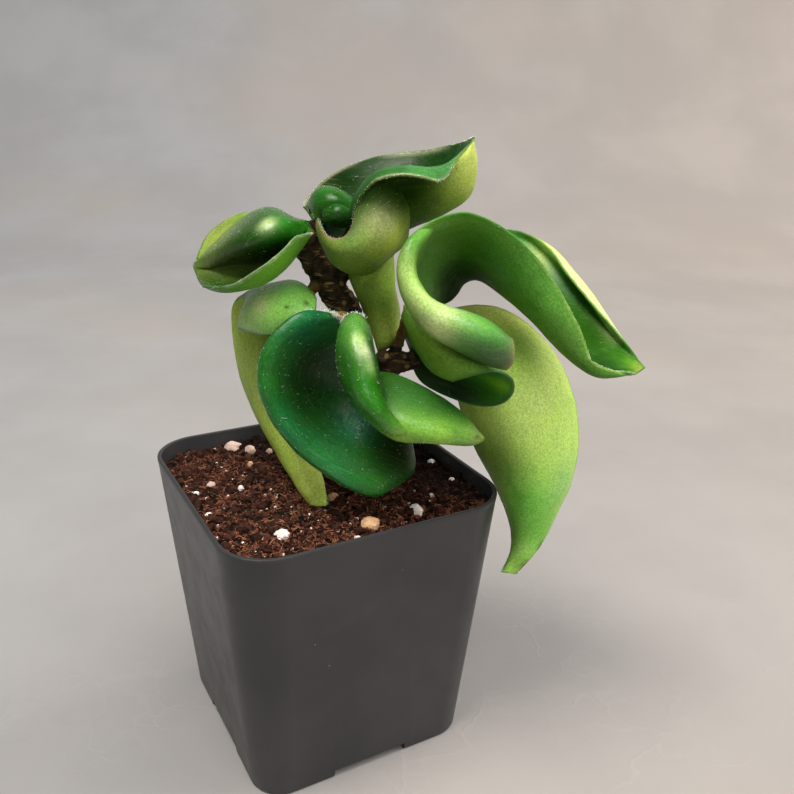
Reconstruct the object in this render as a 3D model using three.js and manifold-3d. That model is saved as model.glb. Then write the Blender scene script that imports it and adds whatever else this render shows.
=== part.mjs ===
// A rope hoya in a 2.5 inch square nursery pot: thick folded leaves on a knobby stem, coir soil and
// perlite. Millimetres, +Z up, the origin at the centre of the pot's underside, -Y the pot's front.
import * as THREE from 'three';
import { mergeVertices } from 'three/addons/utils/BufferGeometryUtils.js';
import Module from 'manifold-3d';

const wasm = await Module();
wasm.setup();

// ---- Driving dimensions ----------------------------------------------------------------------
const POT_TOP = 63.5;            // width across the rim
const POT_HEIGHT = 63.5;
const POT_BOTTOM = 52;           // width across the underside
const POT_TOP_RADIUS = 11;       // corner radius at the rim
const POT_BOTTOM_RADIUS = 7.5;
const POT_WALL = 1;
const NOTCH_WIDTH = 18;          // the arched foot in the middle of each bottom edge
const NOTCH_HEIGHT = 2;
const NOTCH_DEPTH = 7;
const DRAIN_LENGTH = 9;          // the slot through the floor above each notch
const DRAIN_WIDTH = 2.5;

const SOIL_LEVEL = 60;
const SOIL_RELIEF = 0.9;         // height of the soil's lumps
const GAP = 0.3;                 // between pieces that rest on each other
const CORNER_STEPS = 6;

const PLANT_TURN = THREE.MathUtils.degToRad(-29.5);   // the plant is turned about the pot's axis
const STALK_SIDES = 8;
const KNOBBLY = 0.07;            // how much a stalk's radius swells and shrinks
const THINNEST = 0.6;            // of a blade, at its margins and where it bends tightly
const EVEN_SHARE = 1;            // weight of each neighbour when the normals are evened out
const EASE_PASSES = 10;
const EASE_SHARE = 0.3;          // how small a bent cell may become

// ---- Finishes --------------------------------------------------------------------------------
const finish = (color, roughness) => new THREE.MeshStandardMaterial({ color, roughness, metalness: 0 });
const FINISHES = {
  pot: finish(0x2b2b2d, 0.45),
  soil: finish(0x3a2119, 0.95),
  stem: finish(0x2e2015, 0.85),
  darkLeaf: finish(0x1f6b1c, 0.3),
  lightLeaf: finish(0x86b033, 0.45),
  perlite: finish(0xcfc4b6, 0.9),
  bark: finish(0x8a6a4e, 0.9),
};

// ---- Solids ----------------------------------------------------------------------------------
// A closed three.js geometry as a solid, and back again.
function solidOf(geometry) {
  const bare = geometry.clone();
  bare.deleteAttribute('normal');
  bare.deleteAttribute('uv');
  const merged = mergeVertices(bare, 1e-4);
  return new wasm.Manifold(new wasm.Mesh({
    numProp: 3,
    vertProperties: merged.attributes.position.array,
    triVerts: Uint32Array.from(merged.index.array),
  }));
}

function geometryOf(solid) {
  const mesh = solid.getMesh();
  const geometry = new THREE.BufferGeometry();
  geometry.setAttribute('position', new THREE.BufferAttribute(Float32Array.from(mesh.vertProperties), 3));
  geometry.setIndex(new THREE.BufferAttribute(Uint32Array.from(mesh.triVerts), 1));
  geometry.computeVertexNormals();
  return geometry;
}

// The one outer body of a solid: loose scraps and hollows that a join has sealed are left out.
function wholeBody(solid) {
  const bodies = solid.simplify(0.01).decompose();
  return bodies.reduce((best, body) => (body.volume() > best.volume() ? body : best));
}

const joined = (solids) => solids.reduce((body, solid) => body.add(solid));
const cutBy = (body, cutters) => cutters.reduce((rest, cutter) => rest.subtract(cutter), body);

function meshOf(name, solid, material) {
  const mesh = new THREE.Mesh(geometryOf(solid), material);
  mesh.name = name;
  return mesh;
}

// A closed geometry from rings of points, each joined to the next, with a fan over both ends.
function ringSolid(rings) {
  const sides = rings[0].length;
  const positions = [];
  const triangles = [];
  for (const ring of rings) for (const point of ring) positions.push(point.x, point.y, point.z);
  for (let r = 0; r + 1 < rings.length; r += 1) {
    for (let s = 0; s < sides; s += 1) {
      const next = (s + 1) % sides;
      const [a, b, c, d] = [r * sides + s, r * sides + next, (r + 1) * sides + next, (r + 1) * sides + s];
      triangles.push(a, b, c, a, c, d);
    }
  }
  for (const [ring, flip] of [[0, true], [rings.length - 1, false]]) {
    const centre = positions.length / 3;
    const middle = rings[ring].reduce((sum, p) => sum.add(p), new THREE.Vector3()).divideScalar(sides);
    positions.push(middle.x, middle.y, middle.z);
    for (let s = 0; s < sides; s += 1) {
      const a = ring * sides + s;
      const b = ring * sides + ((s + 1) % sides);
      triangles.push(...(flip ? [b, a, centre] : [a, b, centre]));
    }
  }
  const geometry = new THREE.BufferGeometry();
  geometry.setAttribute('position', new THREE.Float32BufferAttribute(positions, 3));
  geometry.setIndex(triangles);
  return solidOf(geometry);
}

// ---- The pot ---------------------------------------------------------------------------------
// A square with round corners, as a ring of points at one height.
function roundedSquare(halfWidth, radius, height) {
  const points = [];
  const corner = halfWidth - radius;
  for (let quarter = 0; quarter < 4; quarter += 1) {
    for (let step = 0; step <= CORNER_STEPS; step += 1) {
      const angle = (quarter + step / CORNER_STEPS) * (Math.PI / 2);
      const cornerX = quarter === 0 || quarter === 3 ? corner : -corner;
      const cornerY = quarter < 2 ? corner : -corner;
      points.push(new THREE.Vector3(
        cornerX + radius * Math.cos(angle), cornerY + radius * Math.sin(angle), height));
    }
  }
  return points;
}

// The ring of the pot's outside at a height, drawn in by inset.
function potRing(height, inset) {
  const up = height / POT_HEIGHT;
  const half = THREE.MathUtils.lerp(POT_BOTTOM, POT_TOP, up) / 2 - inset;
  const radius = THREE.MathUtils.lerp(POT_BOTTOM_RADIUS, POT_TOP_RADIUS, up) - inset;
  return roundedSquare(half, radius, height);
}

// A block centred across the middle of each of the four bottom edges.
function atEachFoot(width, depth, low, high) {
  return [0, 1, 2, 3].map((side) => {
    const block = new THREE.BoxGeometry(width, depth, high - low);
    block.translate(0, -(POT_BOTTOM / 2 + 1 - depth / 2), (low + high) / 2);
    block.rotateZ((side * Math.PI) / 2);
    return solidOf(block);
  });
}

function potSolid() {
  const outside = ringSolid([potRing(0, 0), potRing(POT_HEIGHT, 0)]);
  const inside = ringSolid([potRing(POT_WALL, POT_WALL), potRing(POT_HEIGHT + 1, POT_WALL)]);
  const bumps = atEachFoot(
    NOTCH_WIDTH + 2 * POT_WALL, NOTCH_DEPTH + 1 + POT_WALL, 0.1, NOTCH_HEIGHT + POT_WALL);
  const notches = atEachFoot(NOTCH_WIDTH, NOTCH_DEPTH + 1, -1, NOTCH_HEIGHT);
  const drains = atEachFoot(DRAIN_LENGTH, DRAIN_WIDTH, 0, 2 * NOTCH_HEIGHT).map((slot, side) => {
    const inward = new THREE.Vector3(0, NOTCH_DEPTH - DRAIN_WIDTH - 1, 0)
      .applyAxisAngle(new THREE.Vector3(0, 0, 1), (side * Math.PI) / 2);
    return slot.translate([inward.x, inward.y, 0]);
  });
  return wholeBody(cutBy(outside, [cutBy(inside, bumps), ...notches, ...drains]));
}

// ---- The soil --------------------------------------------------------------------------------
// Rolling lumps of a few millimetres, a little higher round the stem.
function soilHeight(x, y) {
  const lumps = Math.sin(0.61 * x + 1.3) * Math.cos(0.53 * y - 0.4) + 0.6 * Math.sin(1.07 * x - 0.83 * y)
    + 0.4 * Math.cos(1.31 * y + 0.7 * x + 2);
  const mound = Math.exp(-(x * x + y * y) / 300);
  return SOIL_LEVEL + SOIL_RELIEF * (0.45 * lumps + mound);
}

function soilSolid(holes) {
  const inset = POT_WALL + GAP;
  const rim = potRing(SOIL_LEVEL, inset);
  const shares = [1, 0.9, 0.8, 0.68, 0.56, 0.42, 0.28, 0.14];
  const lumpy = shares.map((share) => rim.map((edge) => {
    const point = edge.clone().multiplyScalar(share);
    return point.setZ(soilHeight(point.x, point.y));
  }));
  // The edge follows the tapering wall at its own height.
  lumpy[0].forEach((point, index) => {
    const edge = potRing(point.z, inset)[index];
    point.setX(edge.x).setY(edge.y);
  });
  const body = ringSolid([potRing(POT_WALL + GAP, inset), ...lumpy]);
  const bumps = atEachFoot(NOTCH_WIDTH + 2 * (POT_WALL + GAP), NOTCH_DEPTH + 1 + POT_WALL + GAP,
    0, NOTCH_HEIGHT + POT_WALL + GAP);
  return wholeBody(cutBy(body, [...bumps, ...holes]));
}

// ---- Leaves ----------------------------------------------------------------------------------
// A point between four others on a uniform Catmull-Rom curve.
function splinePoint(points, place) {
  const last = points.length - 1;
  const span = Math.min(Math.floor(place), last - 1);
  const u = place - span;
  const before = span > 0 ? points[span - 1] : points[0].clone().multiplyScalar(2).sub(points[1]);
  const after = span + 2 <= last
    ? points[span + 2] : points[last].clone().multiplyScalar(2).sub(points[last - 1]);
  const [b, c] = [points[span], points[span + 1]];
  return b.clone().multiplyScalar(2 - 5 * u * u + 3 * u * u * u)
    .addScaledVector(before, -u + 2 * u * u - u * u * u)
    .addScaledVector(c, u + 4 * u * u - 3 * u * u * u)
    .addScaledVector(after, -u * u + u * u * u)
    .multiplyScalar(0.5);
}

function splineThrough(points, count) {
  const steps = Array.from({ length: count }, (_, i) => (i * (points.length - 1)) / (count - 1));
  return steps.map((place) => splinePoint(points, place));
}

// The middle surface of a blade: ribs run from margin to margin, and are given from base to tip.
function bladeGrid(ribs, rows, columns) {
  const across = ribs.map((rib) => splineThrough(rib.map((p) => new THREE.Vector3(...p)), columns));
  const along = across[0].map((_, column) => splineThrough(across.map((rib) => rib[column]), rows));
  return along[0].map((_, row) => along.map((line) => line[row]));
}

// The middle surface pushed out past its margins by grow.
function extendMargins(grid, grow) {
  const rows = grid.length;
  const columns = grid[0].length;
  const pushed = (edge, inner) => edge.clone().addScaledVector(edge.clone().sub(inner).normalize(), grow);
  const wide = grid.map((line) => line.map((point, column) => {
    if (column === 0) return pushed(point, line[1]);
    return column === columns - 1 ? pushed(point, line[columns - 2]) : point;
  }));
  return wide.map((line, row) => line.map((point, column) => {
    if (row === 0) return pushed(point, wide[1][column]);
    return row === rows - 1 ? pushed(point, wide[rows - 2][column]) : point;
  }));
}

// Which way a cell of a grid faces, by its diagonals, with its size.
function cellFacing(grid, row, column) {
  const one = grid[row + 1][column + 1].clone().sub(grid[row][column]);
  const other = grid[row][column + 1].clone().sub(grid[row + 1][column]);
  return one.cross(other);
}

// Each normal turned towards its neighbours' average, which rounds tight folds.
function evenNormals(normals) {
  return normals.map((line, row) => line.map((normal, column) => {
    const sum = normal.clone();
    for (const [r, c] of [[row - 1, column], [row + 1, column], [row, column - 1], [row, column + 1]]) {
      if (normals[r]?.[c]) sum.addScaledVector(normals[r][c], EVEN_SHARE);
    }
    return sum.normalize();
  }));
}

// Thins the blade where it lies close over itself, so that its two layers stay apart.
function easeLayers(grid, normals, halves) {
  grid.forEach((line, row) => line.forEach((point, column) => {
    grid.forEach((otherLine, otherRow) => otherLine.forEach((other, otherColumn) => {
      if (Math.abs(row - otherRow) + Math.abs(column - otherColumn) < 2) return;
      const reach = other.distanceTo(point);
      const rise = Math.abs(other.clone().sub(point).dot(normals[row][column]));
      if (rise < 0.5 * reach || 0.45 * reach > halves[row][column]) return;
      halves[row][column] = Math.max(THINNEST / 2, 0.45 * reach);
    }));
  }));
}

// Thins the blade where it bends more tightly than it is thick, so that no cell of a face turns over.
function easeBends(grid, normals, halves) {
  const moved = (way) => grid.map((line, row) => line.map((point, column) => point.clone()
    .addScaledVector(normals[row][column], way * halves[row][column])));
  for (let pass = 0; pass < EASE_PASSES; pass += 1) {
    for (const face of [moved(1), moved(-1)]) {
      for (let row = 0; row + 1 < grid.length; row += 1) {
        for (let column = 0; column + 1 < grid[0].length; column += 1) {
          const middle = cellFacing(grid, row, column);
          if (cellFacing(face, row, column).dot(middle) > EASE_SHARE * middle.lengthSq()) continue;
          for (const [r, c] of [[0, 0], [0, 1], [1, 0], [1, 1]]) {
            halves[row + r][column + c] = Math.max(THINNEST / 2, halves[row + r][column + c] * 0.85);
          }
        }
      }
    }
  }
}

// A closed blade: the middle surface moved half a thickness to each side, and a rim between them.
// Both faces are split into triangles alike. grow makes the larger blade that clears this one.
function bladeGeometry({ ribs, thickness, rows, columns }, grow = 0) {
  const flat = bladeGrid(ribs, rows, columns);
  const normals = evenNormals(flat.map((line, row) => line.map((_, column) => {
    const along = flat[Math.min(row + 1, rows - 1)][column].clone().sub(flat[Math.max(row - 1, 0)][column]);
    const across = line[Math.min(column + 1, columns - 1)].clone().sub(line[Math.max(column - 1, 0)]);
    return along.cross(across).normalize();
  })));
  const halves = flat.map((line, row) => line.map((_, column) => {
    const edge = Math.abs((2 * column) / (columns - 1) - 1);
    const end = Math.abs((2 * row) / (rows - 1) - 1);
    return Math.max(THINNEST, thickness * (1 - 0.6 * edge ** 4) * (1 - 0.6 * end ** 4)) / 2;
  }));
  easeLayers(flat, normals, halves);
  easeBends(flat, normals, halves);
  const grid = grow > 0 ? extendMargins(flat, grow) : flat;
  const face = (way) => grid.flatMap((line, row) => line.map((point, column) => point.clone()
    .addScaledVector(normals[row][column], way * (halves[row][column] + grow))));
  const count = rows * columns;
  const triangles = [];
  for (let row = 0; row + 1 < rows; row += 1) {
    for (let column = 0; column + 1 < columns; column += 1) {
      const a = row * columns + column;
      const [b, c, d] = [a + 1, a + columns + 1, a + columns];
      triangles.push(a, d, c, a, c, b);
      triangles.push(count + a, count + c, count + d, count + a, count + b, count + c);
    }
  }
  const border = [];
  for (let column = 0; column < columns; column += 1) border.push(column);
  for (let row = 1; row < rows; row += 1) border.push(row * columns + columns - 1);
  for (let column = columns - 2; column >= 0; column -= 1) border.push((rows - 1) * columns + column);
  for (let row = rows - 2; row > 0; row -= 1) border.push(row * columns);
  border.forEach((a, index) => {
    const b = border[(index + 1) % border.length];
    triangles.push(a, b, count + b, a, count + b, count + a);
  });
  const geometry = new THREE.BufferGeometry().setFromPoints([...face(1), ...face(-1)]);
  geometry.setIndex(triangles);
  return geometry;
}

const bladeSolid = (blade, grow) => solidOf(bladeGeometry(blade, grow));

// Each blade's ribs as [across, away, up] in millimetres, in the plant's own turned frame: across to
// the viewer's right, away from the viewer, up from the pot's underside. Ribs run from margin to
// margin and are given from base to tip, so that along x across points out of the glossy side.
const BLADES = {
  // The crown leaf: a trough whose near margin rolls outwards, ending in a raised tip.
  crown: {
    thickness: 1.9, rows: 13, columns: 13,
    ribs: [
      [[7.5, -8, 121.5], [6.5, -5, 121.5], [5.5, -2, 118], [3, 3, 114.5], [-1, 9, 116], [-4, 14, 119.5],
        [-5, 14, 120.5]],
      [[8, -10.5, 125], [8, -7, 126.5], [8, -4, 119.5], [6, 3, 114.5], [1.5, 12, 117], [-2, 18, 122],
        [-3, 19, 124]],
      [[11.5, -13.5, 129.5], [11, -9, 131], [12.5, -6, 122], [11.5, 2, 115.5], [7.5, 12, 118],
        [4.5, 21, 126], [3.5, 22, 128.5]],
      [[17, -14.5, 131], [16.5, -9, 132.5], [17.5, -5, 124], [18, 2, 117.5], [15, 12, 119.5],
        [13, 21, 128], [12.5, 22, 131.5]],
      [[22, -14, 130], [21.5, -8, 132], [23, -3, 125.5], [24.5, 4, 120.5], [22.5, 12, 121.5],
        [21, 19, 129.5], [20.5, 20, 132.5]],
      [[25, -9.5, 129.5], [25, -5, 133], [27.5, -1, 126.5], [29, 5, 123], [28, 10, 125.5],
        [26.5, 15, 131], [25.5, 16, 134]],
      [[27, -5, 133], [28, -1.5, 133.5], [30, 1, 130], [31.5, 5, 126.5], [30.5, 8, 129], [29, 11, 133],
        [28.5, 12, 135]],
      [[30, 2, 135.5], [31.5, 7, 136.5]],
    ],
  },
  // The bulb under the crown leaf: its upper margin is the torn edge of the spout.
  bulb: {
    thickness: 1.8, rows: 11, columns: 8,
    ribs: [
      [[-0.5, 0, 121.5], [-0.5, -1, 119.5], [0, -1, 117], [1, 0, 114], [2, 2, 111.5]],
      [[1, -6, 119.5], [1.5, -7, 117.5], [2.5, -6, 115.5], [3.5, -4, 112.5], [4.5, -1, 110]],
      [[3, -9, 118], [4, -11, 116.5], [5.5, -10, 114.5], [6.5, -7, 112], [7.5, -3, 109.5]],
      [[6, -10, 118.5], [7.5, -13, 117.5], [9, -13, 116], [10, -9, 113], [10.5, -4, 110]],
      [[7.5, -9, 121], [9.5, -12, 121.5], [12, -13, 119.5], [13.5, -9.5, 116], [13.5, -4, 112.5]],
      [[8, -9, 126], [10.5, -11, 125], [13.5, -12.5, 122.5], [15, -9, 118], [15.5, -2, 114]],
      [[9.5, -10, 129], [12.5, -10.5, 127.5], [15, -10, 123.5], [16.5, -6, 119], [17, 1, 114.5]],
      [[12.5, -9.5, 130.5], [15.5, -8.5, 128.5], [18, -6, 124.5], [18.5, -2.5, 120.5], [18, 4, 116]],
    ],
  },
  // The crown leaf's upper basal lobe, bulging into the trough.
  upperLobe: {
    thickness: 1.8, rows: 8, columns: 8,
    ribs: [
      [[-0.5, -2, 120.5], [-1.5, 0, 121.5], [-2.5, 3, 122.5], [-3, 7, 121.5], [-3, 10, 119.5]],
      [[1, -3, 121.5], [0.5, -3, 123.5], [-0.5, 1, 125.5], [-1, 7, 124.5], [-1.5, 12, 122.5]],
      [[3, -3, 122], [3.5, -4, 124.5], [2.5, 0, 126], [1.5, 7, 125], [1.5, 12, 122.5]],
      [[6, -3, 122], [6, -4, 123.5], [6, -1, 124.5], [5, 6, 124], [4.5, 11, 122]],
      [[7.5, -4, 121], [7.5, -4, 122], [7.5, -1, 122.5], [7.5, 4, 122], [7, 8, 120]],
    ],
  },
  // The lower lobe, inside the spout.
  lowerLobe: {
    thickness: 1.6, rows: 6, columns: 7,
    ribs: [
      [[1, -3, 119.5], [1, -4, 121.5], [0.5, -2, 122.5], [0, 1, 121.5], [0, 4, 119]],
      [[3.5, -4, 119.5], [3.5, -6, 122], [3, -4, 123.5], [2, 0, 122.5], [2, 3, 120.5]],
      [[5.5, -4, 119], [5.5, -6, 122.5], [5, -4, 123.5], [4.5, 0, 123], [4.5, 3, 121]],
      [[7, -5, 120], [7, -6, 121.5], [7, -4, 122.5], [6.5, -1, 122.5], [6.5, 2, 120]],
    ],
  },
  // The apron: hangs under the bulb, its underside to the front.
  apron: {
    thickness: 2, rows: 9, columns: 7,
    ribs: [
      [[15, 4, 113.5], [14, 0, 112.5], [11, -2, 111], [7.5, 1, 110.5], [5, 6, 110]],
      [[15.5, 3, 108], [14, -2, 108], [11.5, -4, 107.5], [9, -1, 106.5], [6.5, 5, 105.5]],
      [[16, 2, 104], [15, -3, 104.5], [13, -5, 104.5], [10.5, -2, 103.5], [8.5, 4, 102]],
      [[17, 2, 100], [15.5, -2, 99.5], [13.5, -4, 99], [12, -2, 99], [10, 3, 98]],
      [[16.5, 1, 96], [15.5, -2, 95.5], [14.5, -3, 95], [13, -2, 94.5], [12, 1, 94]],
      [[15.5, 0, 94], [12.5, -1, 92]],
    ],
  },
  // The beak: a domed upper half folded over a lower lip.
  beak: {
    thickness: 1.8, rows: 12, columns: 12,
    ribs: [
      [[-2.5, 3, 119], [-1, -4, 118]],
      [[-7, 6, 119], [-5.5, 0, 119.5], [-4.5, -4, 119], [-5.5, -3, 117], [-6, 1, 114.5],
        [-4.5, -3, 113.5], [-3.5, -9, 118.5]],
      [[-11, 10, 120.5], [-9, 0, 121.5], [-7, -7, 119.5], [-8.5, -5, 116], [-10.5, 3, 112],
        [-6.5, -3, 109.5], [-5, -12, 117]],
      [[-16, 12, 119], [-13.5, 2, 120], [-11, -8, 118.5], [-12, -6, 114.5], [-14.5, 4, 110.5],
        [-10.5, -4, 106.5], [-8.5, -14, 114]],
      [[-21, 12, 115.5], [-18.5, 4, 116], [-16, -6, 116], [-17, -3, 113], [-18.5, 5, 110],
        [-15, -5, 105.5], [-12, -15, 111.5]],
      [[-24.5, 9, 112], [-23, 4, 112.5], [-21, -2, 112.5], [-21.5, -0.5, 111], [-22.5, 3.5, 109],
        [-20, -4, 105.5], [-16.5, -13, 108.5]],
      [[-26.5, 5, 110], [-26, 4, 110], [-25.5, 2.5, 110], [-25.5, 3, 109], [-25, 2.5, 108],
        [-23.5, -2.5, 107], [-21, -9, 107.5]],
      [[-27.5, 6, 109.5], [-27.5, 5, 109], [-27.5, 4, 108.5], [-27, 3, 108], [-26.5, 2, 107.5],
        [-25.5, -1, 107], [-23.5, -6, 107]],
    ],
  },
  // The strip of the beak's far half that shows behind the dome.
  beakBack: {
    thickness: 1.5, rows: 6, columns: 3,
    ribs: [
      [[-14.5, 10, 118], [-16, 12, 118.5], [-17.5, 14, 119]],
      [[-18.5, 12, 116], [-20.5, 14, 117], [-22, 15, 117.5]],
      [[-22.5, 10, 113], [-24.5, 12, 114], [-25.5, 13, 115]],
      [[-25, 8, 110.5], [-26.5, 10, 110.5], [-27.5, 10, 111.5]],
      [[-26.5, 6, 109.5], [-27, 7, 109.5], [-27.5, 7, 110]],
    ],
  },
  // The tail: a dome at the top, folded over a long blade whose tip comes down to the soil.
  tail: {
    thickness: 2, rows: 16, columns: 7,
    ribs: [
      [[-1, -8, 100], [-6, -8, 98], [-11, -7, 97], [-14.5, -3, 96.5], [-18, 2, 95.5]],
      [[0, -5, 104], [-4.5, -7, 104], [-9.5, -7, 103], [-14, -3, 101], [-18, 4, 98.5]],
      [[-1.5, 2, 104], [-5, 2, 106.5], [-9.5, 3, 105.5], [-14, 5, 103.5], [-17, 8, 100.5]],
      [[-2.5, 9, 99.5], [-7, 11, 101], [-12, 11, 101], [-17, 12, 100.5], [-21.5, 14, 99]],
      [[-4.5, 12, 90], [-7.5, 8, 91], [-12, 6, 91.5], [-17, 8, 91], [-21.5, 13, 90.5]],
      [[-4.5, 8, 81], [-7.5, 4, 82.5], [-10.5, 2, 83.5], [-15, 4, 83], [-19.5, 10, 81]],
      [[-3.5, 3, 73.5], [-6, -1, 74.5], [-8.5, -2, 74.5], [-11.5, 0, 74], [-14.5, 5, 72]],
      [[-1.5, -2, 67.5], [-2.5, -5, 68], [-4.5, -6, 68.5], [-6.5, -5, 68], [-9, -2, 66.5]],
      [[1.5, -8, 64], [0.5, -10, 64.5], [-1, -11, 64.5], [-3, -10, 63.5], [-4.5, -8, 62.5]],
      [[2.5, -12, 60], [-1.5, -12, 60.5]],
    ],
  },
  // The cup: a wide hollow leaf with its left margin rolled back.
  cup: {
    thickness: 2.2, rows: 14, columns: 9,
    ribs: [
      [[3, -8, 102.5], [5.5, -8, 101]],
      [[-3.5, -10, 103], [-2, -12.5, 103.5], [-0.5, -9, 100.5], [2, -5, 97], [5, -4, 96], [7.5, -3, 96]],
      [[-9.5, -12, 97.5], [-8, -16, 98.5], [-5.5, -10, 94.5], [-1, -3, 90.5], [5, -4, 91],
        [10, -3, 92.5]],
      [[-11.5, -14, 90.5], [-9.5, -18, 91.5], [-6.5, -11, 87], [-0.5, -4, 84], [6.5, -3, 84],
        [13, -3, 86.5]],
      [[-9, -16, 83.5], [-7, -20, 84.5], [-3.5, -13, 81], [3, -7, 78.5], [10, -6, 79], [16.5, -4, 80.5]],
      [[-4, -18, 76.5], [-1.5, -22, 78.5], [2, -16, 76], [7, -11, 74.5], [14, -10, 75], [20, -4, 74.5]],
      [[5, -20, 70.5], [7, -22, 72], [9, -18, 71.5], [11.5, -14, 71], [15.5, -12, 71.5], [21, -5, 70]],
      [[9.5, -19, 67.5], [11, -20.5, 69], [13.5, -17.5, 68.5], [16, -14, 68.5], [18, -11.5, 68.5],
        [21, -7, 67]],
      [[13, -18, 66], [19, -11, 66.5]],
    ],
  },
  // The spoon: the leaf's left half, a thick rolled strip.
  spoon: {
    thickness: 1.6, rows: 14, columns: 8,
    ribs: [
      [[5.5, -9, 101.5], [6.5, -12.5, 103.5], [8, -14.5, 104.5], [9, -14, 104], [10, -11, 102.5]],
      [[5, -11, 99], [6, -17, 101.5], [8.5, -21, 103.5], [10.5, -19, 102.5], [11, -13, 99.5]],
      [[4.5, -13, 96], [6, -20, 98.5], [8.5, -25, 100.5], [11, -23, 99.5], [12, -16.5, 97]],
      [[5, -14, 93], [6.5, -21, 95.5], [9.5, -27, 97.5], [12, -25.5, 97], [13, -19, 94]],
      [[6, -16, 90], [7.5, -23, 92.5], [10, -29, 94.5], [12.5, -28, 94], [13.5, -22, 91.5]],
      [[8, -19, 88], [9.5, -26, 90], [11.5, -31, 92], [13.5, -30, 92], [14.5, -25, 90]],
      [[10.5, -22, 86], [12, -27.5, 88], [13.5, -31.5, 89.5], [15, -30.5, 89.5], [16, -27, 88.5]],
      [[13.5, -25, 84.5], [14.5, -28.5, 86], [15.5, -30.5, 87], [17, -29.5, 87], [17.5, -27, 86.5]],
      [[16.5, -26, 83.5], [17, -27.5, 84.5], [17.5, -28, 84.5], [18.5, -27.5, 85], [19.5, -26, 84.5]],
    ],
  },
  // The spoon's right half, a flat pointed blade that comes out from behind the strip.
  spoonFlat: {
    thickness: 1.6, rows: 11, columns: 7,
    ribs: [
      [[7.5, -16, 87.5], [8, -17, 88], [9.5, -16, 89.5], [10.5, -13.5, 90.5], [11.5, -9, 90.5]],
      [[12, -21, 83.5], [12.5, -22.5, 85], [13.5, -22, 88], [14, -18, 89.5], [15, -10, 91]],
      [[16.5, -23, 81.5], [16.5, -25.5, 83.5], [17, -26, 87], [18, -21, 89], [19, -13, 90.5]],
      [[20.5, -24, 81.5], [20.5, -26.5, 83.5], [21, -27, 86], [21.5, -22, 88], [22.5, -16, 90]],
      [[25.5, -23.5, 81.5], [24.5, -27, 83.5], [25, -27, 85.5], [26, -23, 86.5], [27, -18, 88]],
      [[30, -22.5, 80.5], [29, -26, 83], [29, -26, 84], [30, -24, 85], [30.5, -21, 86]],
      [[32.5, -23, 81], [32, -25, 82.5], [32.5, -25, 83], [32.5, -24.5, 83.5], [32.5, -22.5, 84]],
      [[34, -24.5, 82.5], [34, -24.5, 83]],
    ],
  },
  // The arch: rises from the middle, bends over and comes down to a point, folded along its midrib.
  arch: {
    thickness: 1.9, rows: 17, columns: 12,
    ribs: [
      [[20.5, -24, 106.5], [22, -16, 105.5], [25, -4, 103.5], [26.5, 0, 103.5], [28, 6, 103],
        [27.5, 9, 102.5]],
      [[17, -26, 112], [20.5, -14, 109.5], [26.5, -2, 104.5], [29, 4, 105], [29.5, 10, 106.5],
        [29.5, 14, 105.5]],
      [[17, -25, 117.5], [21.5, -10, 114], [29, 2, 106], [31.5, 10, 108.5], [33.5, 16, 111],
        [33, 19, 110.5]],
      [[20, -22, 122.5], [24.5, -8, 118], [32, 4, 106.5], [35.5, 12, 110.5], [37, 17, 113.5],
        [37.5, 20, 115]],
      [[27, -20, 125.5], [30, -9, 119], [35, 1, 106.5], [40, 9.5, 110.5], [41.5, 14, 114],
        [42, 15, 116.5]],
      [[34, -19, 123.5], [36, -13, 116], [39.5, -4, 104], [45.5, 7, 107], [48, 13, 114], [48, 8, 115]],
      [[42, -19, 117.5], [41.5, -16, 110.5], [44, -9, 101.5], [50.5, 2.5, 103.5], [54, 6, 109.5],
        [52.5, -0.5, 109]],
      [[49, -19, 108], [47.5, -18, 103.5], [48.5, -13, 97.5], [55, -4.5, 99], [59, -0.5, 103],
        [58, -6, 103.5]],
      [[53, -20, 100.5], [52.5, -20, 98], [53.5, -17, 95], [58, -11.5, 96], [62, -7.5, 97.5],
        [62, -10.5, 99.5]],
      [[54, -21.5, 97.5], [54.5, -21.5, 96.5], [57, -19.5, 94.5], [60.5, -16.5, 94.5], [64, -13.5, 95],
        [65.5, -12.5, 95.5]],
      [[63.5, -17, 94], [66.5, -13.5, 94.5]],
    ],
  },
  // The tongue: the arch's near margin rolled down into a blunt strip.
  tongue: {
    thickness: 1.5, rows: 15, columns: 7,
    ribs: [
      [[21, -20, 123], [23, -19.5, 122]],
      [[17.5, -23, 120], [18, -25, 120.5], [18.5, -26, 120.5], [19.5, -25, 120], [20, -23, 119]],
      [[16.5, -23.5, 116], [16.5, -26, 116.5], [17.5, -27.5, 116.5], [18.5, -27, 116.5],
        [19.5, -24.5, 115.5]],
      [[17, -23, 111.5], [17.5, -27, 112.5], [18.5, -29, 113.5], [19.5, -28, 113.5], [20.5, -25, 113]],
      [[19, -23, 107], [19.5, -28, 109], [21, -30.5, 110.5], [22, -29.5, 111], [22.5, -26, 110.5]],
      [[22, -24, 104], [22.5, -29, 106], [24, -31.5, 108.5], [25, -30, 109.5], [25.5, -27, 109.5]],
      [[26, -25, 101.5], [26, -30, 104], [27.5, -33, 107], [28.5, -31.5, 109], [29, -28.5, 109]],
      [[29.5, -26, 100], [30, -31, 102.5], [31, -34, 106], [32, -32.5, 107.5], [33, -29, 107.5]],
      [[33.5, -27, 98.5], [33.5, -31, 101], [34, -33.5, 104], [35, -32, 105.5], [35.5, -29, 105.5]],
      [[37, -27.5, 98], [37.5, -30, 100], [37.5, -31, 102], [37.5, -30, 103.5], [37.5, -28, 104]],
    ],
  },
  // The pitcher: a half rolled up into a tube, open at the lower right.
  pitcher: {
    thickness: 1.6, rows: 10, columns: 14,
    ribs: [
      [[17.5, -1, 97], [19.5, -4, 98], [21.5, -8, 100], [22.5, -13, 104], [20, -18, 107],
        [18.5, -20, 108], [17.5, -18, 106.5], [17.5, -15, 104]],
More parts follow.
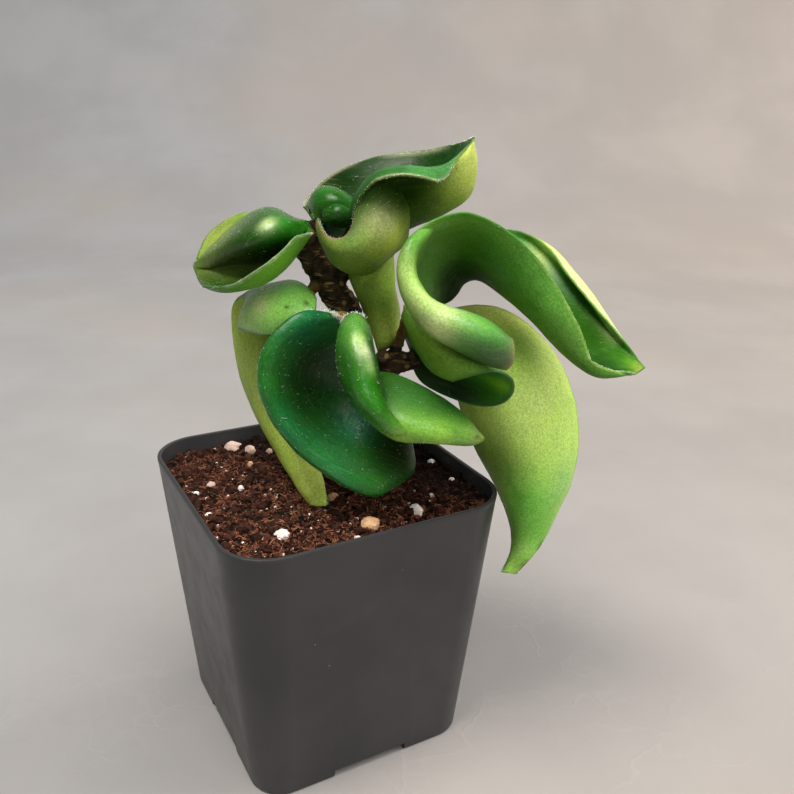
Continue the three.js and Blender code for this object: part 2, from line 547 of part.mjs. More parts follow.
      [[19.5, 0, 92], [22.5, -2, 91.5], [25, -6, 93], [27, -14, 97.5], [24.5, -22, 102.5],
        [21.5, -24, 104], [20.5, -21, 102.5], [19.5, -16, 99]],
      [[20, 1, 88], [27.5, -3, 86.5], [33, -8, 87.5], [34.5, -16, 93.5], [31, -24, 99], [27, -26, 100.5],
        [24, -24, 98.5], [22.5, -18.5, 95]],
      [[22.5, -1, 85], [30.5, -6, 84.5], [36.5, -11, 85.5], [38, -18, 92.5], [34.5, -26, 98.5],
        [30, -28, 99], [27, -26, 97], [25, -20.5, 94]],
      [[27.5, -5, 84], [32.5, -9, 83.5], [38.5, -13, 84.5], [41, -19, 91.5], [37, -26, 97.5],
        [32.5, -28, 97.5], [29.5, -25.5, 95.5], [27.5, -22, 93.5]],
    ],
  },
  // The drooping leaf: hangs past the pot's right side, its underside to the front.
  droop: {
    thickness: 1.7, rows: 14, columns: 7,
    ribs: [
      [[25.5, 3, 100.5], [25.5, 1, 99], [25.5, 0, 97.5], [26, 1, 95], [26, 2, 93.5]],
      [[32.5, 6, 101.5], [31, 0, 99.5], [30, -3, 96.5], [29, -1, 92.5], [28.5, 3, 87]],
      [[41, 6, 100.5], [38, -2, 97.5], [34.5, -7, 93.5], [32.5, -4.5, 88], [30.5, 2.5, 80.5]],
      [[50.5, 4, 93], [45.5, -5, 92.5], [40, -9, 88], [36, -6.5, 82.5], [32.5, 2, 74.5]],
      [[56.5, 3, 82], [49.5, -6, 82.5], [43, -10, 80], [38.5, -6, 75], [35, 2, 68.5]],
      [[58.5, 2, 71.5], [52, -6, 72.5], [45.5, -10, 71.5], [41, -6, 67.5], [38.5, 1, 63]],
      [[57, -1, 62], [52, -7, 63], [47, -10, 63], [43.5, -7, 60.5], [41.5, -2, 58]],
      [[52.5, -4.5, 53], [49.5, -8.5, 54.5], [46.5, -9.5, 54.5], [44.5, -8, 53.5], [43.5, -5, 52.5]],
      [[49.5, -9.5, 50], [47, -11, 49], [45.5, -10.5, 48.5], [44.5, -9.5, 48.5], [43.5, -8, 48]],
      [[44.5, -11, 44], [41, -11, 44.5]],
    ],
  },
};

// The blades that grow together as one leaf, its finish, and the name of its mesh. A leaf is cut
// clear of those before it in the list.
const LEAVES = [
  { name: 'leaf_arch', blades: ['arch', 'tongue', 'pitcher'], material: FINISHES.lightLeaf },
  { name: 'leaf_crown', blades: ['crown', 'bulb', 'upperLobe', 'lowerLobe'], material: FINISHES.darkLeaf },
  { name: 'leaf_apron', blades: ['apron'], material: FINISHES.lightLeaf },
  { name: 'leaf_beak', blades: ['beak', 'beakBack'], material: FINISHES.darkLeaf },
  { name: 'leaf_tail', blades: ['tail'], material: FINISHES.lightLeaf },
  { name: 'leaf_spoon', blades: ['spoon', 'spoonFlat'], material: FINISHES.darkLeaf },
  { name: 'leaf_cup', blades: ['cup'], material: FINISHES.darkLeaf },
  { name: 'leaf_droop', blades: ['droop'], material: FINISHES.lightLeaf },
];

function leafSolids() {
  const clear = [];
  return LEAVES.map(({ name, blades, material }) => {
    const body = joined(blades.map((blade) => bladeSolid(BLADES[blade])));
    const solid = wholeBody(cutBy(body, clear));
    const room = wholeBody(joined(blades.map((blade) => bladeSolid(BLADES[blade], GAP)))).add(solid);
    clear.push(room);
    return { name, solid, material, room };
  });
}

// ---- The stem --------------------------------------------------------------------------------
// Routes in the plant's turned frame, each point [across, away, up, radius].
const STEM_PARTS = {
  trunk: [[6.5, 3, 44, 2.2], [6.5, 3, 62, 2.8], [6.5, 4, 74, 3], [6.5, 5, 86, 3.1], [5.5, 5, 98, 3.4],
    [2.5, 5, 104, 3], [-1, 6, 110, 3.4], [-3.5, 7, 114.5, 3], [-4.5, 8, 117.5, 2.4]],
  branch: [[6, 4, 82.5, 1.8], [11, 1, 87.5, 1.9], [15.5, -1, 90, 2.6], [19.5, -1, 90.5, 1.9],
    [22.5, 1, 91.5, 1.7], [25, 2, 94, 1.4], [26, 2, 96, 1.2]],
  stub: [[14.5, -1, 90.5, 1.5], [14, -3.5, 92, 1.4], [13.5, -5.5, 93, 1.4]],
  archStalk: [[15.5, -2, 91.5, 1.3], [17, -6, 96.5, 1.1], [18, -11, 102, 0.9], [18.5, -14, 106, 0.9]],
  apronStalk: [[2.5, 5, 104, 1.4], [5, 5, 108, 1.2], [6.5, 4, 110.5, 1]],
  cupStalk: [[5.5, 5, 98, 1.6], [5, -2, 100, 1.4], [5, -8, 102, 1.1]],
  tailStalk: [[1.5, 5, 106.5, 1.4], [-1, 4, 105.5, 1.3], [-3, 1, 103.5, 1]],
  beakStalk: [[-3.5, 7, 114.5, 1.3], [-2.5, 3, 116, 1.2], [-2, -1, 117.5, 1]],
  crownStalk: [[-4.5, 8, 117, 1.4], [-2.5, 8, 117.5, 1.3], [0, 7, 117, 1.1]],
};

function stalkSolid(route) {
  const points = route.map(([x, y, z]) => new THREE.Vector3(x, y, z));
  const curve = new THREE.CatmullRomCurve3(points, false, 'catmullrom', 0.5);
  const steps = 2 * (route.length - 1);
  const frames = curve.computeFrenetFrames(steps);
  const rings = Array.from({ length: steps + 1 }, (_, step) => {
    const place = (step / steps) * (route.length - 1);
    const span = Math.min(Math.floor(place), route.length - 2);
    const radius = THREE.MathUtils.lerp(route[span][3], route[span + 1][3], place - span)
      * (1 + KNOBBLY * Math.sin(2.4 * step));
    const centre = curve.getPoint(step / steps);
    return Array.from({ length: STALK_SIDES }, (_side, side) => {
      const angle = (2 * Math.PI * side) / STALK_SIDES;
      return centre.clone()
        .addScaledVector(frames.normals[step], radius * Math.cos(angle))
        .addScaledVector(frames.binormals[step], radius * Math.sin(angle));
    });
  });
  return ringSolid(rings);
}

function stemSolid(clear) {
  return wholeBody(cutBy(joined(Object.values(STEM_PARTS).map(stalkSolid)), clear));
}

// The hole that the stem's foot stands in.
function stemHole() {
  const [across, away, low, radius] = STEM_PARTS.trunk[0];
  const widest = STEM_PARTS.trunk[1][3] * (1 + KNOBBLY) + GAP;
  const hole = new THREE.CylinderGeometry(widest, radius + 2 * GAP, SOIL_LEVEL + 4 - low, 16);
  hole.rotateX(Math.PI / 2);
  hole.translate(across, away, (SOIL_LEVEL + 4 + low) / 2 - GAP);
  return solidOf(hole);
}

// ---- Grains ----------------------------------------------------------------------------------
// Places and radii [x, y, radius] on the soil. The last of the perlite lie behind the plant.
const PERLITE = [
  [-12, 26.5, 1.9], [-9, 22.5, 1.4], [-17.8, 4.4, 0.9], [-23, 9.8, 1.15], [-27, 15.8, 0.9],
  [-27.3, 6.7, 0.8], [-27.6, -3, 0.9], [-18, 27, 0.8], [-5.2, 19.8, 1], [-17.3, -18.5, 1.4],
  [-20.6, -17.2, 0.8], [-22, -21.6, 0.8], [-23.6, -12.6, 0.7], [-16, -26, 0.7], [12, -22.7, 1.6],
  [19.1, -17, 0.75], [28, -2.3, 1], [27.6, -12.6, 0.9], [-3.6, -25.6, 0.9], [-9, -14, 0.7],
  [14, 12, 1.1], [21, 20, 1.5], [4, 26, 0.9], [24, 6, 0.8],
];
const BARK = [[0.6, -23.2, 1.8], [-1.5, -9.5, 1.2], [-11.6, 15.2, 0.9], [12, 23, 1.3]];

// An uneven lump. Its waves depend on direction alone, so shared corners move together.
function grainSolid([x, y, radius], turn, grow = 0) {
  const lump = new THREE.IcosahedronGeometry(radius, radius < 1.2 ? 0 : 1);
  const corners = lump.attributes.position;
  const corner = new THREE.Vector3();
  for (let index = 0; index < corners.count; index += 1) {
    corner.fromBufferAttribute(corners, index);
    const way = corner.clone().divideScalar(radius);
    const wave = 0.1 * Math.sin(4 * way.x + turn) + 0.08 * Math.cos(5 * way.y + 2 * turn)
      + 0.06 * Math.sin(6 * way.z + 3 * turn);
    corner.addScaledVector(way, radius * wave + grow);
    corners.setXYZ(index, corner.x, corner.y, 0.85 * corner.z);
  }
  lump.translate(x, y, soilHeight(x, y) + 0.2 * radius);
  return solidOf(lump);
}

// ---- The whole plant -------------------------------------------------------------------------
const leaves = leafSolids();
const stem = stemSolid(leaves.map(({ room }) => room));
const turned = (solid) => solid.rotate([0, 0, THREE.MathUtils.radToDeg(PLANT_TURN)]);
const grains = [
  ...PERLITE.map((place, index) => ({ name: `perlite_${index + 1}`, place, material: FINISHES.perlite })),
  ...BARK.map((place, index) => ({ name: `bark_${index + 1}`, place, material: FINISHES.bark })),
];
const touching = leaves.filter(({ name }) => ['leaf_tail', 'leaf_cup'].includes(name));
const soil = soilSolid([
  turned(stemHole()),
  ...touching.map(({ room }) => turned(room)),
  ...grains.map(({ place }, index) => grainSolid(place, index, GAP)),
]);

const plant = new THREE.Group();
plant.rotation.z = PLANT_TURN;
plant.add(meshOf('stem', stem, FINISHES.stem));
leaves.forEach(({ name, solid, material }) => plant.add(meshOf(name, solid, material)));

const pottedHoya = new THREE.Group();
pottedHoya.add(meshOf('pot', potSolid(), FINISHES.pot));
pottedHoya.add(meshOf('soil', soil, FINISHES.soil));
pottedHoya.add(plant);
grains.forEach(({ name, place, material }, index) => {
  pottedHoya.add(meshOf(name, grainSolid(place, index), material));
});

export default pottedHoya;
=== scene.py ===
"""A potted rope hoya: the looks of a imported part, built round its frame.

The pieces are made in metres in the part's own frame. Leaf and stem shapes are given in millimetres
in the plant's frame, which is turned about the pot's axis: across to the viewer's right, away, up.
"""

import functools
import math

import bpy
import numpy as np
from mathutils import Matrix, Vector, noise


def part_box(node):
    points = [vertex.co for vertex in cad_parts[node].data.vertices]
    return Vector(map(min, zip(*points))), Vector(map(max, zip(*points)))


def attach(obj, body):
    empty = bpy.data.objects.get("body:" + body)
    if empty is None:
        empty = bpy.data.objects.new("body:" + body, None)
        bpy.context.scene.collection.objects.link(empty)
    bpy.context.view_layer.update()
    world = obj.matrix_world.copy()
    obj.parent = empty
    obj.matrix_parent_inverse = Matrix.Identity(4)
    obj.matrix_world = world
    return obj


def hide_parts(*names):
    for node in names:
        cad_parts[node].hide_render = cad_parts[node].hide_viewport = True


bl_info = {
    "name": "Potted Rope Hoya",
    "version": (1, 0, 0),
    "blender": (4, 5, 0),
    "location": "3D Viewport > Sidebar > Hoya",
    "description": "Builds a rope hoya with curled leaves in a square nursery pot",
    "category": "Object",
}

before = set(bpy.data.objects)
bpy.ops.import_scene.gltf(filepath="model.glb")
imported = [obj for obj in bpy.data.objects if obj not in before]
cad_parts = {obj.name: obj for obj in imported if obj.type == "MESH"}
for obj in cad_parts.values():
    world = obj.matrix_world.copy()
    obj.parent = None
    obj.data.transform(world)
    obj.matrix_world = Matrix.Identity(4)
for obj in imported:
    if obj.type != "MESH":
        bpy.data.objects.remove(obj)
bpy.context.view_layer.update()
POT_LOW, POT_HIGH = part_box("pot")

MM = 0.001
BODY = "root"
PLANT_TURN = math.radians(-29.5)

# ---- Blades ----------------------------------------------------------------------------------
# Each blade: its thickness, and its ribs as (across, away, up) in millimetres. A rib runs from
# margin to margin and the ribs are given from base to tip, so that along x across points out of
# the glossy side.
BLADES = {
    # The crown leaf: a trough whose near margin rolls outwards, ending in a raised tip.
    "crown": (1.9, [
        [(7.5, -8, 121.5), (6.5, -5, 121.5), (5.5, -2, 118), (3, 3, 114.5), (-1, 9, 116),
         (-4, 14, 119.5), (-5, 14, 120.5)],
        [(8, -10.5, 125), (8, -7, 126.5), (8, -4, 119.5), (6, 3, 114.5), (1.5, 12, 117), (-2, 18, 122),
         (-3, 19, 124)],
        [(11.5, -13.5, 129.5), (11, -9, 131), (12.5, -6, 122), (11.5, 2, 115.5), (7.5, 12, 118),
         (4.5, 21, 126), (3.5, 22, 128.5)],
        [(17, -14.5, 131), (16.5, -9, 132.5), (17.5, -5, 124), (18, 2, 117.5), (15, 12, 119.5),
         (13, 21, 128), (12.5, 22, 131.5)],
        [(22, -14, 130), (21.5, -8, 132), (23, -3, 125.5), (24.5, 4, 120.5), (22.5, 12, 121.5),
         (21, 19, 129.5), (20.5, 20, 132.5)],
        [(25, -9.5, 129.5), (25, -5, 133), (27.5, -1, 126.5), (29, 5, 123), (28, 10, 125.5),
         (26.5, 15, 131), (25.5, 16, 134)],
        [(27, -5, 133), (28, -1.5, 133.5), (30, 1, 130), (31.5, 5, 126.5), (30.5, 8, 129),
         (29, 11, 133), (28.5, 12, 135)],
        [(30, 2, 135.5), (31.5, 7, 136.5)],
    ]),
    # The bulb under the crown leaf: its upper margin is the torn edge of the spout.
    "bulb": (1.8, [
        [(-0.5, 0, 121.5), (-0.5, -1, 119.5), (0, -1, 117), (1, 0, 114), (2, 2, 111.5)],
        [(1, -6, 119.5), (1.5, -7, 117.5), (2.5, -6, 115.5), (3.5, -4, 112.5), (4.5, -1, 110)],
        [(3, -9, 118), (4, -11, 116.5), (5.5, -10, 114.5), (6.5, -7, 112), (7.5, -3, 109.5)],
        [(6, -10, 118.5), (7.5, -13, 117.5), (9, -13, 116), (10, -9, 113), (10.5, -4, 110)],
        [(7.5, -9, 121), (9.5, -12, 121.5), (12, -13, 119.5), (13.5, -9.5, 116), (13.5, -4, 112.5)],
        [(8, -9, 126), (10.5, -11, 125), (13.5, -12.5, 122.5), (15, -9, 118), (15.5, -2, 114)],
        [(9.5, -10, 129), (12.5, -10.5, 127.5), (15, -10, 123.5), (16.5, -6, 119), (17, 1, 114.5)],
        [(12.5, -9.5, 130.5), (15.5, -8.5, 128.5), (18, -6, 124.5), (18.5, -2.5, 120.5), (18, 4, 116)],
    ]),
    # The crown leaf's upper basal lobe, bulging into the trough.
    "upper_lobe": (1.8, [
        [(-0.5, -2, 120.5), (-1.5, 0, 121.5), (-2.5, 3, 122.5), (-3, 7, 121.5), (-3, 10, 119.5)],
        [(1, -3, 121.5), (0.5, -3, 123.5), (-0.5, 1, 125.5), (-1, 7, 124.5), (-1.5, 12, 122.5)],
        [(3, -3, 122), (3.5, -4, 124.5), (2.5, 0, 126), (1.5, 7, 125), (1.5, 12, 122.5)],
        [(6, -3, 122), (6, -4, 123.5), (6, -1, 124.5), (5, 6, 124), (4.5, 11, 122)],
        [(7.5, -4, 121), (7.5, -4, 122), (7.5, -1, 122.5), (7.5, 4, 122), (7, 8, 120)],
    ]),
    # The lower lobe, inside the spout.
    "lower_lobe": (1.6, [
        [(1, -3, 119.5), (1, -4, 121.5), (0.5, -2, 122.5), (0, 1, 121.5), (0, 4, 119)],
        [(3.5, -4, 119.5), (3.5, -6, 122), (3, -4, 123.5), (2, 0, 122.5), (2, 3, 120.5)],
        [(5.5, -4, 119), (5.5, -6, 122.5), (5, -4, 123.5), (4.5, 0, 123), (4.5, 3, 121)],
        [(7, -5, 120), (7, -6, 121.5), (7, -4, 122.5), (6.5, -1, 122.5), (6.5, 2, 120)],
    ]),
    # The apron: hangs under the bulb, its underside to the front.
    "apron": (2, [
        [(15, 4, 113.5), (14, 0, 112.5), (11, -2, 111), (7.5, 1, 110.5), (5, 6, 110)],
        [(15.5, 3, 108), (14, -2, 108), (11.5, -4, 107.5), (9, -1, 106.5), (6.5, 5, 105.5)],
        [(16, 2, 104), (15, -3, 104.5), (13, -5, 104.5), (10.5, -2, 103.5), (8.5, 4, 102)],
        [(17, 2, 100), (15.5, -2, 99.5), (13.5, -4, 99), (12, -2, 99), (10, 3, 98)],
        [(16.5, 1, 96), (15.5, -2, 95.5), (14.5, -3, 95), (13, -2, 94.5), (12, 1, 94)],
        [(15.5, 0, 94), (12.5, -1, 92)],
    ]),
    # The beak: a domed upper half folded over a lower lip.
    "beak": (1.8, [
        [(-2.5, 3, 119), (-1, -4, 118)],
        [(-7, 6, 119), (-5.5, 0, 119.5), (-4.5, -4, 119), (-5.5, -3, 117), (-6, 1, 114.5),
         (-4.5, -3, 113.5), (-3.5, -9, 118.5)],
        [(-11, 10, 120.5), (-9, 0, 121.5), (-7, -7, 119.5), (-8.5, -5, 116), (-10.5, 3, 112),
         (-6.5, -3, 109.5), (-5, -12, 117)],
        [(-16, 12, 119), (-13.5, 2, 120), (-11, -8, 118.5), (-12, -6, 114.5), (-14.5, 4, 110.5),
         (-10.5, -4, 106.5), (-8.5, -14, 114)],
        [(-21, 12, 115.5), (-18.5, 4, 116), (-16, -6, 116), (-17, -3, 113), (-18.5, 5, 110),
         (-15, -5, 105.5), (-12, -15, 111.5)],
        [(-24.5, 9, 112), (-23, 4, 112.5), (-21, -2, 112.5), (-21.5, -0.5, 111), (-22.5, 3.5, 109),
         (-20, -4, 105.5), (-16.5, -13, 108.5)],
        [(-26.5, 5, 110), (-26, 4, 110), (-25.5, 2.5, 110), (-25.5, 3, 109), (-25, 2.5, 108),
         (-23.5, -2.5, 107), (-21, -9, 107.5)],
        [(-27.5, 6, 109.5), (-27.5, 5, 109), (-27.5, 4, 108.5), (-27, 3, 108), (-26.5, 2, 107.5),
         (-25.5, -1, 107), (-23.5, -6, 107)],
    ]),
    # The strip of the beak's far half that shows behind the dome.
    "beak_back": (1.5, [
        [(-14.5, 10, 118), (-16, 12, 118.5), (-17.5, 14, 119)],
        [(-18.5, 12, 116), (-20.5, 14, 117), (-22, 15, 117.5)],
        [(-22.5, 10, 113), (-24.5, 12, 114), (-25.5, 13, 115)],
        [(-25, 8, 110.5), (-26.5, 10, 110.5), (-27.5, 10, 111.5)],
        [(-26.5, 6, 109.5), (-27, 7, 109.5), (-27.5, 7, 110)],
    ]),
    # The tail: a dome at the top, folded over a long blade whose tip comes down to the soil.
    "tail": (2, [
        [(-1, -8, 100), (-6, -8, 98), (-11, -7, 97), (-14.5, -3, 96.5), (-18, 2, 95.5)],
        [(0, -5, 104), (-4.5, -7, 104), (-9.5, -7, 103), (-14, -3, 101), (-18, 4, 98.5)],
        [(-1.5, 2, 104), (-5, 2, 106.5), (-9.5, 3, 105.5), (-14, 5, 103.5), (-17, 8, 100.5)],
        [(-2.5, 9, 99.5), (-7, 11, 101), (-12, 11, 101), (-17, 12, 100.5), (-21.5, 14, 99)],
        [(-4.5, 12, 90), (-7.5, 8, 91), (-12, 6, 91.5), (-17, 8, 91), (-21.5, 13, 90.5)],
        [(-4.5, 8, 81), (-7.5, 4, 82.5), (-10.5, 2, 83.5), (-15, 4, 83), (-19.5, 10, 81)],
        [(-3.5, 3, 73.5), (-6, -1, 74.5), (-8.5, -2, 74.5), (-11.5, 0, 74), (-14.5, 5, 72)],
        [(-1.5, -2, 67.5), (-2.5, -5, 68), (-4.5, -6, 68.5), (-6.5, -5, 68), (-9, -2, 66.5)],
        [(1.5, -8, 64), (0.5, -10, 64.5), (-1, -11, 64.5), (-3, -10, 63.5), (-4.5, -8, 62.5)],
        [(2.5, -12, 60), (-1.5, -12, 60.5)],
    ]),
    # The cup: a wide hollow leaf with its left margin rolled back.
    "cup": (2.2, [
        [(3, -8, 102.5), (5.5, -8, 101)],
        [(-3.5, -10, 103), (-2, -12.5, 103.5), (-0.5, -9, 100.5), (2, -5, 97), (5, -4, 96),
         (7.5, -3, 96)],
        [(-9.5, -12, 97.5), (-8, -16, 98.5), (-5.5, -10, 94.5), (-1, -3, 90.5), (5, -4, 91),
         (10, -3, 92.5)],
        [(-11.5, -14, 90.5), (-9.5, -18, 91.5), (-6.5, -11, 87), (-0.5, -4, 84), (6.5, -3, 84),
         (13, -3, 86.5)],
        [(-9, -16, 83.5), (-7, -20, 84.5), (-3.5, -13, 81), (3, -7, 78.5), (10, -6, 79),
         (16.5, -4, 80.5)],
        [(-4, -18, 76.5), (-1.5, -22, 78.5), (2, -16, 76), (7, -11, 74.5), (14, -10, 75),
         (20, -4, 74.5)],
        [(5, -20, 70.5), (7, -22, 72), (9, -18, 71.5), (11.5, -14, 71), (15.5, -12, 71.5),
         (21, -5, 70)],
        [(9.5, -19, 67.5), (11, -20.5, 69), (13.5, -17.5, 68.5), (16, -14, 68.5), (18, -11.5, 68.5),
         (21, -7, 67)],
        [(13, -18, 66), (19, -11, 66.5)],
    ]),
    # The spoon: the leaf's left half, a thick rolled strip.
    "spoon": (1.6, [
        [(5.5, -9, 101.5), (6.5, -12.5, 103.5), (8, -14.5, 104.5), (9, -14, 104), (10, -11, 102.5)],
        [(5, -11, 99), (6, -17, 101.5), (8.5, -21, 103.5), (10.5, -19, 102.5), (11, -13, 99.5)],
        [(4.5, -13, 96), (6, -20, 98.5), (8.5, -25, 100.5), (11, -23, 99.5), (12, -16.5, 97)],
        [(5, -14, 93), (6.5, -21, 95.5), (9.5, -27, 97.5), (12, -25.5, 97), (13, -19, 94)],
        [(6, -16, 90), (7.5, -23, 92.5), (10, -29, 94.5), (12.5, -28, 94), (13.5, -22, 91.5)],
        [(8, -19, 88), (9.5, -26, 90), (11.5, -31, 92), (13.5, -30, 92), (14.5, -25, 90)],
        [(10.5, -22, 86), (12, -27.5, 88), (13.5, -31.5, 89.5), (15, -30.5, 89.5), (16, -27, 88.5)],
        [(13.5, -25, 84.5), (14.5, -28.5, 86), (15.5, -30.5, 87), (17, -29.5, 87), (17.5, -27, 86.5)],
        [(16.5, -26, 83.5), (17, -27.5, 84.5), (17.5, -28, 84.5), (18.5, -27.5, 85), (19.5, -26, 84.5)],
    ]),
    # The spoon's right half, a flat pointed blade that comes out from behind the strip.
    "spoon_flat": (1.6, [
        [(7.5, -16, 87.5), (8, -17, 88), (9.5, -16, 89.5), (10.5, -13.5, 90.5), (11.5, -9, 90.5)],
        [(12, -21, 83.5), (12.5, -22.5, 85), (13.5, -22, 88), (14, -18, 89.5), (15, -10, 91)],
        [(16.5, -23, 81.5), (16.5, -25.5, 83.5), (17, -26, 87), (18, -21, 89), (19, -13, 90.5)],
        [(20.5, -24, 81.5), (20.5, -26.5, 83.5), (21, -27, 86), (21.5, -22, 88), (22.5, -16, 90)],
        [(25.5, -23.5, 81.5), (24.5, -27, 83.5), (25, -27, 85.5), (26, -23, 86.5), (27, -18, 88)],
        [(30, -22.5, 80.5), (29, -26, 83), (29, -26, 84), (30, -24, 85), (30.5, -21, 86)],
        [(32.5, -23, 81), (32, -25, 82.5), (32.5, -25, 83), (32.5, -24.5, 83.5), (32.5, -22.5, 84)],
        [(34, -24.5, 82.5), (34, -24.5, 83)],
    ]),
    # The arch: rises from the middle, bends over and comes down to a point, folded along its midrib.
    "arch": (1.9, [
        [(20.5, -24, 106.5), (22, -16, 105.5), (25, -4, 103.5), (26.5, 0, 103.5), (28, 6, 103),
         (27.5, 9, 102.5)],
        [(17, -26, 112), (20.5, -14, 109.5), (26.5, -2, 104.5), (29, 4, 105), (29.5, 10, 106.5),
         (29.5, 14, 105.5)],
        [(17, -25, 117.5), (21.5, -10, 114), (29, 2, 106), (31.5, 10, 108.5), (33.5, 16, 111),
         (33, 19, 110.5)],
        [(20, -22, 122.5), (24.5, -8, 118), (32, 4, 106.5), (35.5, 12, 110.5), (37, 17, 113.5),
         (37.5, 20, 115)],
        [(27, -20, 125.5), (30, -9, 119), (35, 1, 106.5), (40, 9.5, 110.5), (41.5, 14, 114),
         (42, 15, 116.5)],
        [(34, -19, 123.5), (36, -13, 116), (39.5, -4, 104), (45.5, 7, 107), (48, 13, 114),
         (48, 8, 115)],
        [(42, -19, 117.5), (41.5, -16, 110.5), (44, -9, 101.5), (50.5, 2.5, 103.5), (54, 6, 109.5),
         (52.5, -0.5, 109)],
        [(49, -19, 108), (47.5, -18, 103.5), (48.5, -13, 97.5), (55, -4.5, 99), (59, -0.5, 103),
         (58, -6, 103.5)],
        [(53, -20, 100.5), (52.5, -20, 98), (53.5, -17, 95), (58, -11.5, 96), (62, -7.5, 97.5),
         (62, -10.5, 99.5)],
        [(54, -21.5, 97.5), (54.5, -21.5, 96.5), (57, -19.5, 94.5), (60.5, -16.5, 94.5),
         (64, -13.5, 95), (65.5, -12.5, 95.5)],
        [(63.5, -17, 94), (66.5, -13.5, 94.5)],
    ]),
    # The tongue: the arch's near margin rolled down into a blunt strip.
    "tongue": (1.5, [
        [(21, -20, 123), (23, -19.5, 122)],
        [(17.5, -23, 120), (18, -25, 120.5), (18.5, -26, 120.5), (19.5, -25, 120), (20, -23, 119)],
        [(16.5, -23.5, 116), (16.5, -26, 116.5), (17.5, -27.5, 116.5), (18.5, -27, 116.5),
         (19.5, -24.5, 115.5)],
        [(17, -23, 111.5), (17.5, -27, 112.5), (18.5, -29, 113.5), (19.5, -28, 113.5),
         (20.5, -25, 113)],
        [(19, -23, 107), (19.5, -28, 109), (21, -30.5, 110.5), (22, -29.5, 111), (22.5, -26, 110.5)],
        [(22, -24, 104), (22.5, -29, 106), (24, -31.5, 108.5), (25, -30, 109.5), (25.5, -27, 109.5)],
        [(26, -25, 101.5), (26, -30, 104), (27.5, -33, 107), (28.5, -31.5, 109), (29, -28.5, 109)],
        [(29.5, -26, 100), (30, -31, 102.5), (31, -34, 106), (32, -32.5, 107.5), (33, -29, 107.5)],
        [(33.5, -27, 98.5), (33.5, -31, 101), (34, -33.5, 104), (35, -32, 105.5), (35.5, -29, 105.5)],
        [(37, -27.5, 98), (37.5, -30, 100), (37.5, -31, 102), (37.5, -30, 103.5), (37.5, -28, 104)],
    ]),
    # The pitcher: a half rolled up into a tube, open at the lower right.
    "pitcher": (1.6, [
        [(17.5, -1, 97), (19.5, -4, 98), (21.5, -8, 100), (22.5, -13, 104), (20, -18, 107),
         (18.5, -20, 108), (17.5, -18, 106.5), (17.5, -15, 104)],
        [(19.5, 0, 92), (22.5, -2, 91.5), (25, -6, 93), (27, -14, 97.5), (24.5, -22, 102.5),
         (21.5, -24, 104), (20.5, -21, 102.5), (19.5, -16, 99)],
        [(20, 1, 88), (27.5, -3, 86.5), (33, -8, 87.5), (34.5, -16, 93.5), (31, -24, 99),
         (27, -26, 100.5), (24, -24, 98.5), (22.5, -18.5, 95)],
        [(22.5, -1, 85), (30.5, -6, 84.5), (36.5, -11, 85.5), (38, -18, 92.5), (34.5, -26, 98.5),
         (30, -28, 99), (27, -26, 97), (25, -20.5, 94)],
        [(27.5, -5, 84), (32.5, -9, 83.5), (38.5, -13, 84.5), (41, -19, 91.5), (37, -26, 97.5),
         (32.5, -28, 97.5), (29.5, -25.5, 95.5), (27.5, -22, 93.5)],
    ]),
    # The drooping leaf: hangs past the pot's right side, its underside to the front.
    "droop": (1.7, [
        [(25.5, 3, 100.5), (25.5, 1, 99), (25.5, 0, 97.5), (26, 1, 95), (26, 2, 93.5)],
        [(32.5, 6, 101.5), (31, 0, 99.5), (30, -3, 96.5), (29, -1, 92.5), (28.5, 3, 87)],
        [(41, 6, 100.5), (38, -2, 97.5), (34.5, -7, 93.5), (32.5, -4.5, 88), (30.5, 2.5, 80.5)],
        [(50.5, 4, 93), (45.5, -5, 92.5), (40, -9, 88), (36, -6.5, 82.5), (32.5, 2, 74.5)],
        [(56.5, 3, 82), (49.5, -6, 82.5), (43, -10, 80), (38.5, -6, 75), (35, 2, 68.5)],
        [(58.5, 2, 71.5), (52, -6, 72.5), (45.5, -10, 71.5), (41, -6, 67.5), (38.5, 1, 63)],
        [(57, -1, 62), (52, -7, 63), (47, -10, 63), (43.5, -7, 60.5), (41.5, -2, 58)],
        [(52.5, -4.5, 53), (49.5, -8.5, 54.5), (46.5, -9.5, 54.5), (44.5, -8, 53.5), (43.5, -5, 52.5)],
        [(49.5, -9.5, 50), (47, -11, 49), (45.5, -10.5, 48.5), (44.5, -9.5, 48.5), (43.5, -8, 48)],
        [(44.5, -11, 44), (41, -11, 44.5)],
    ]),
}

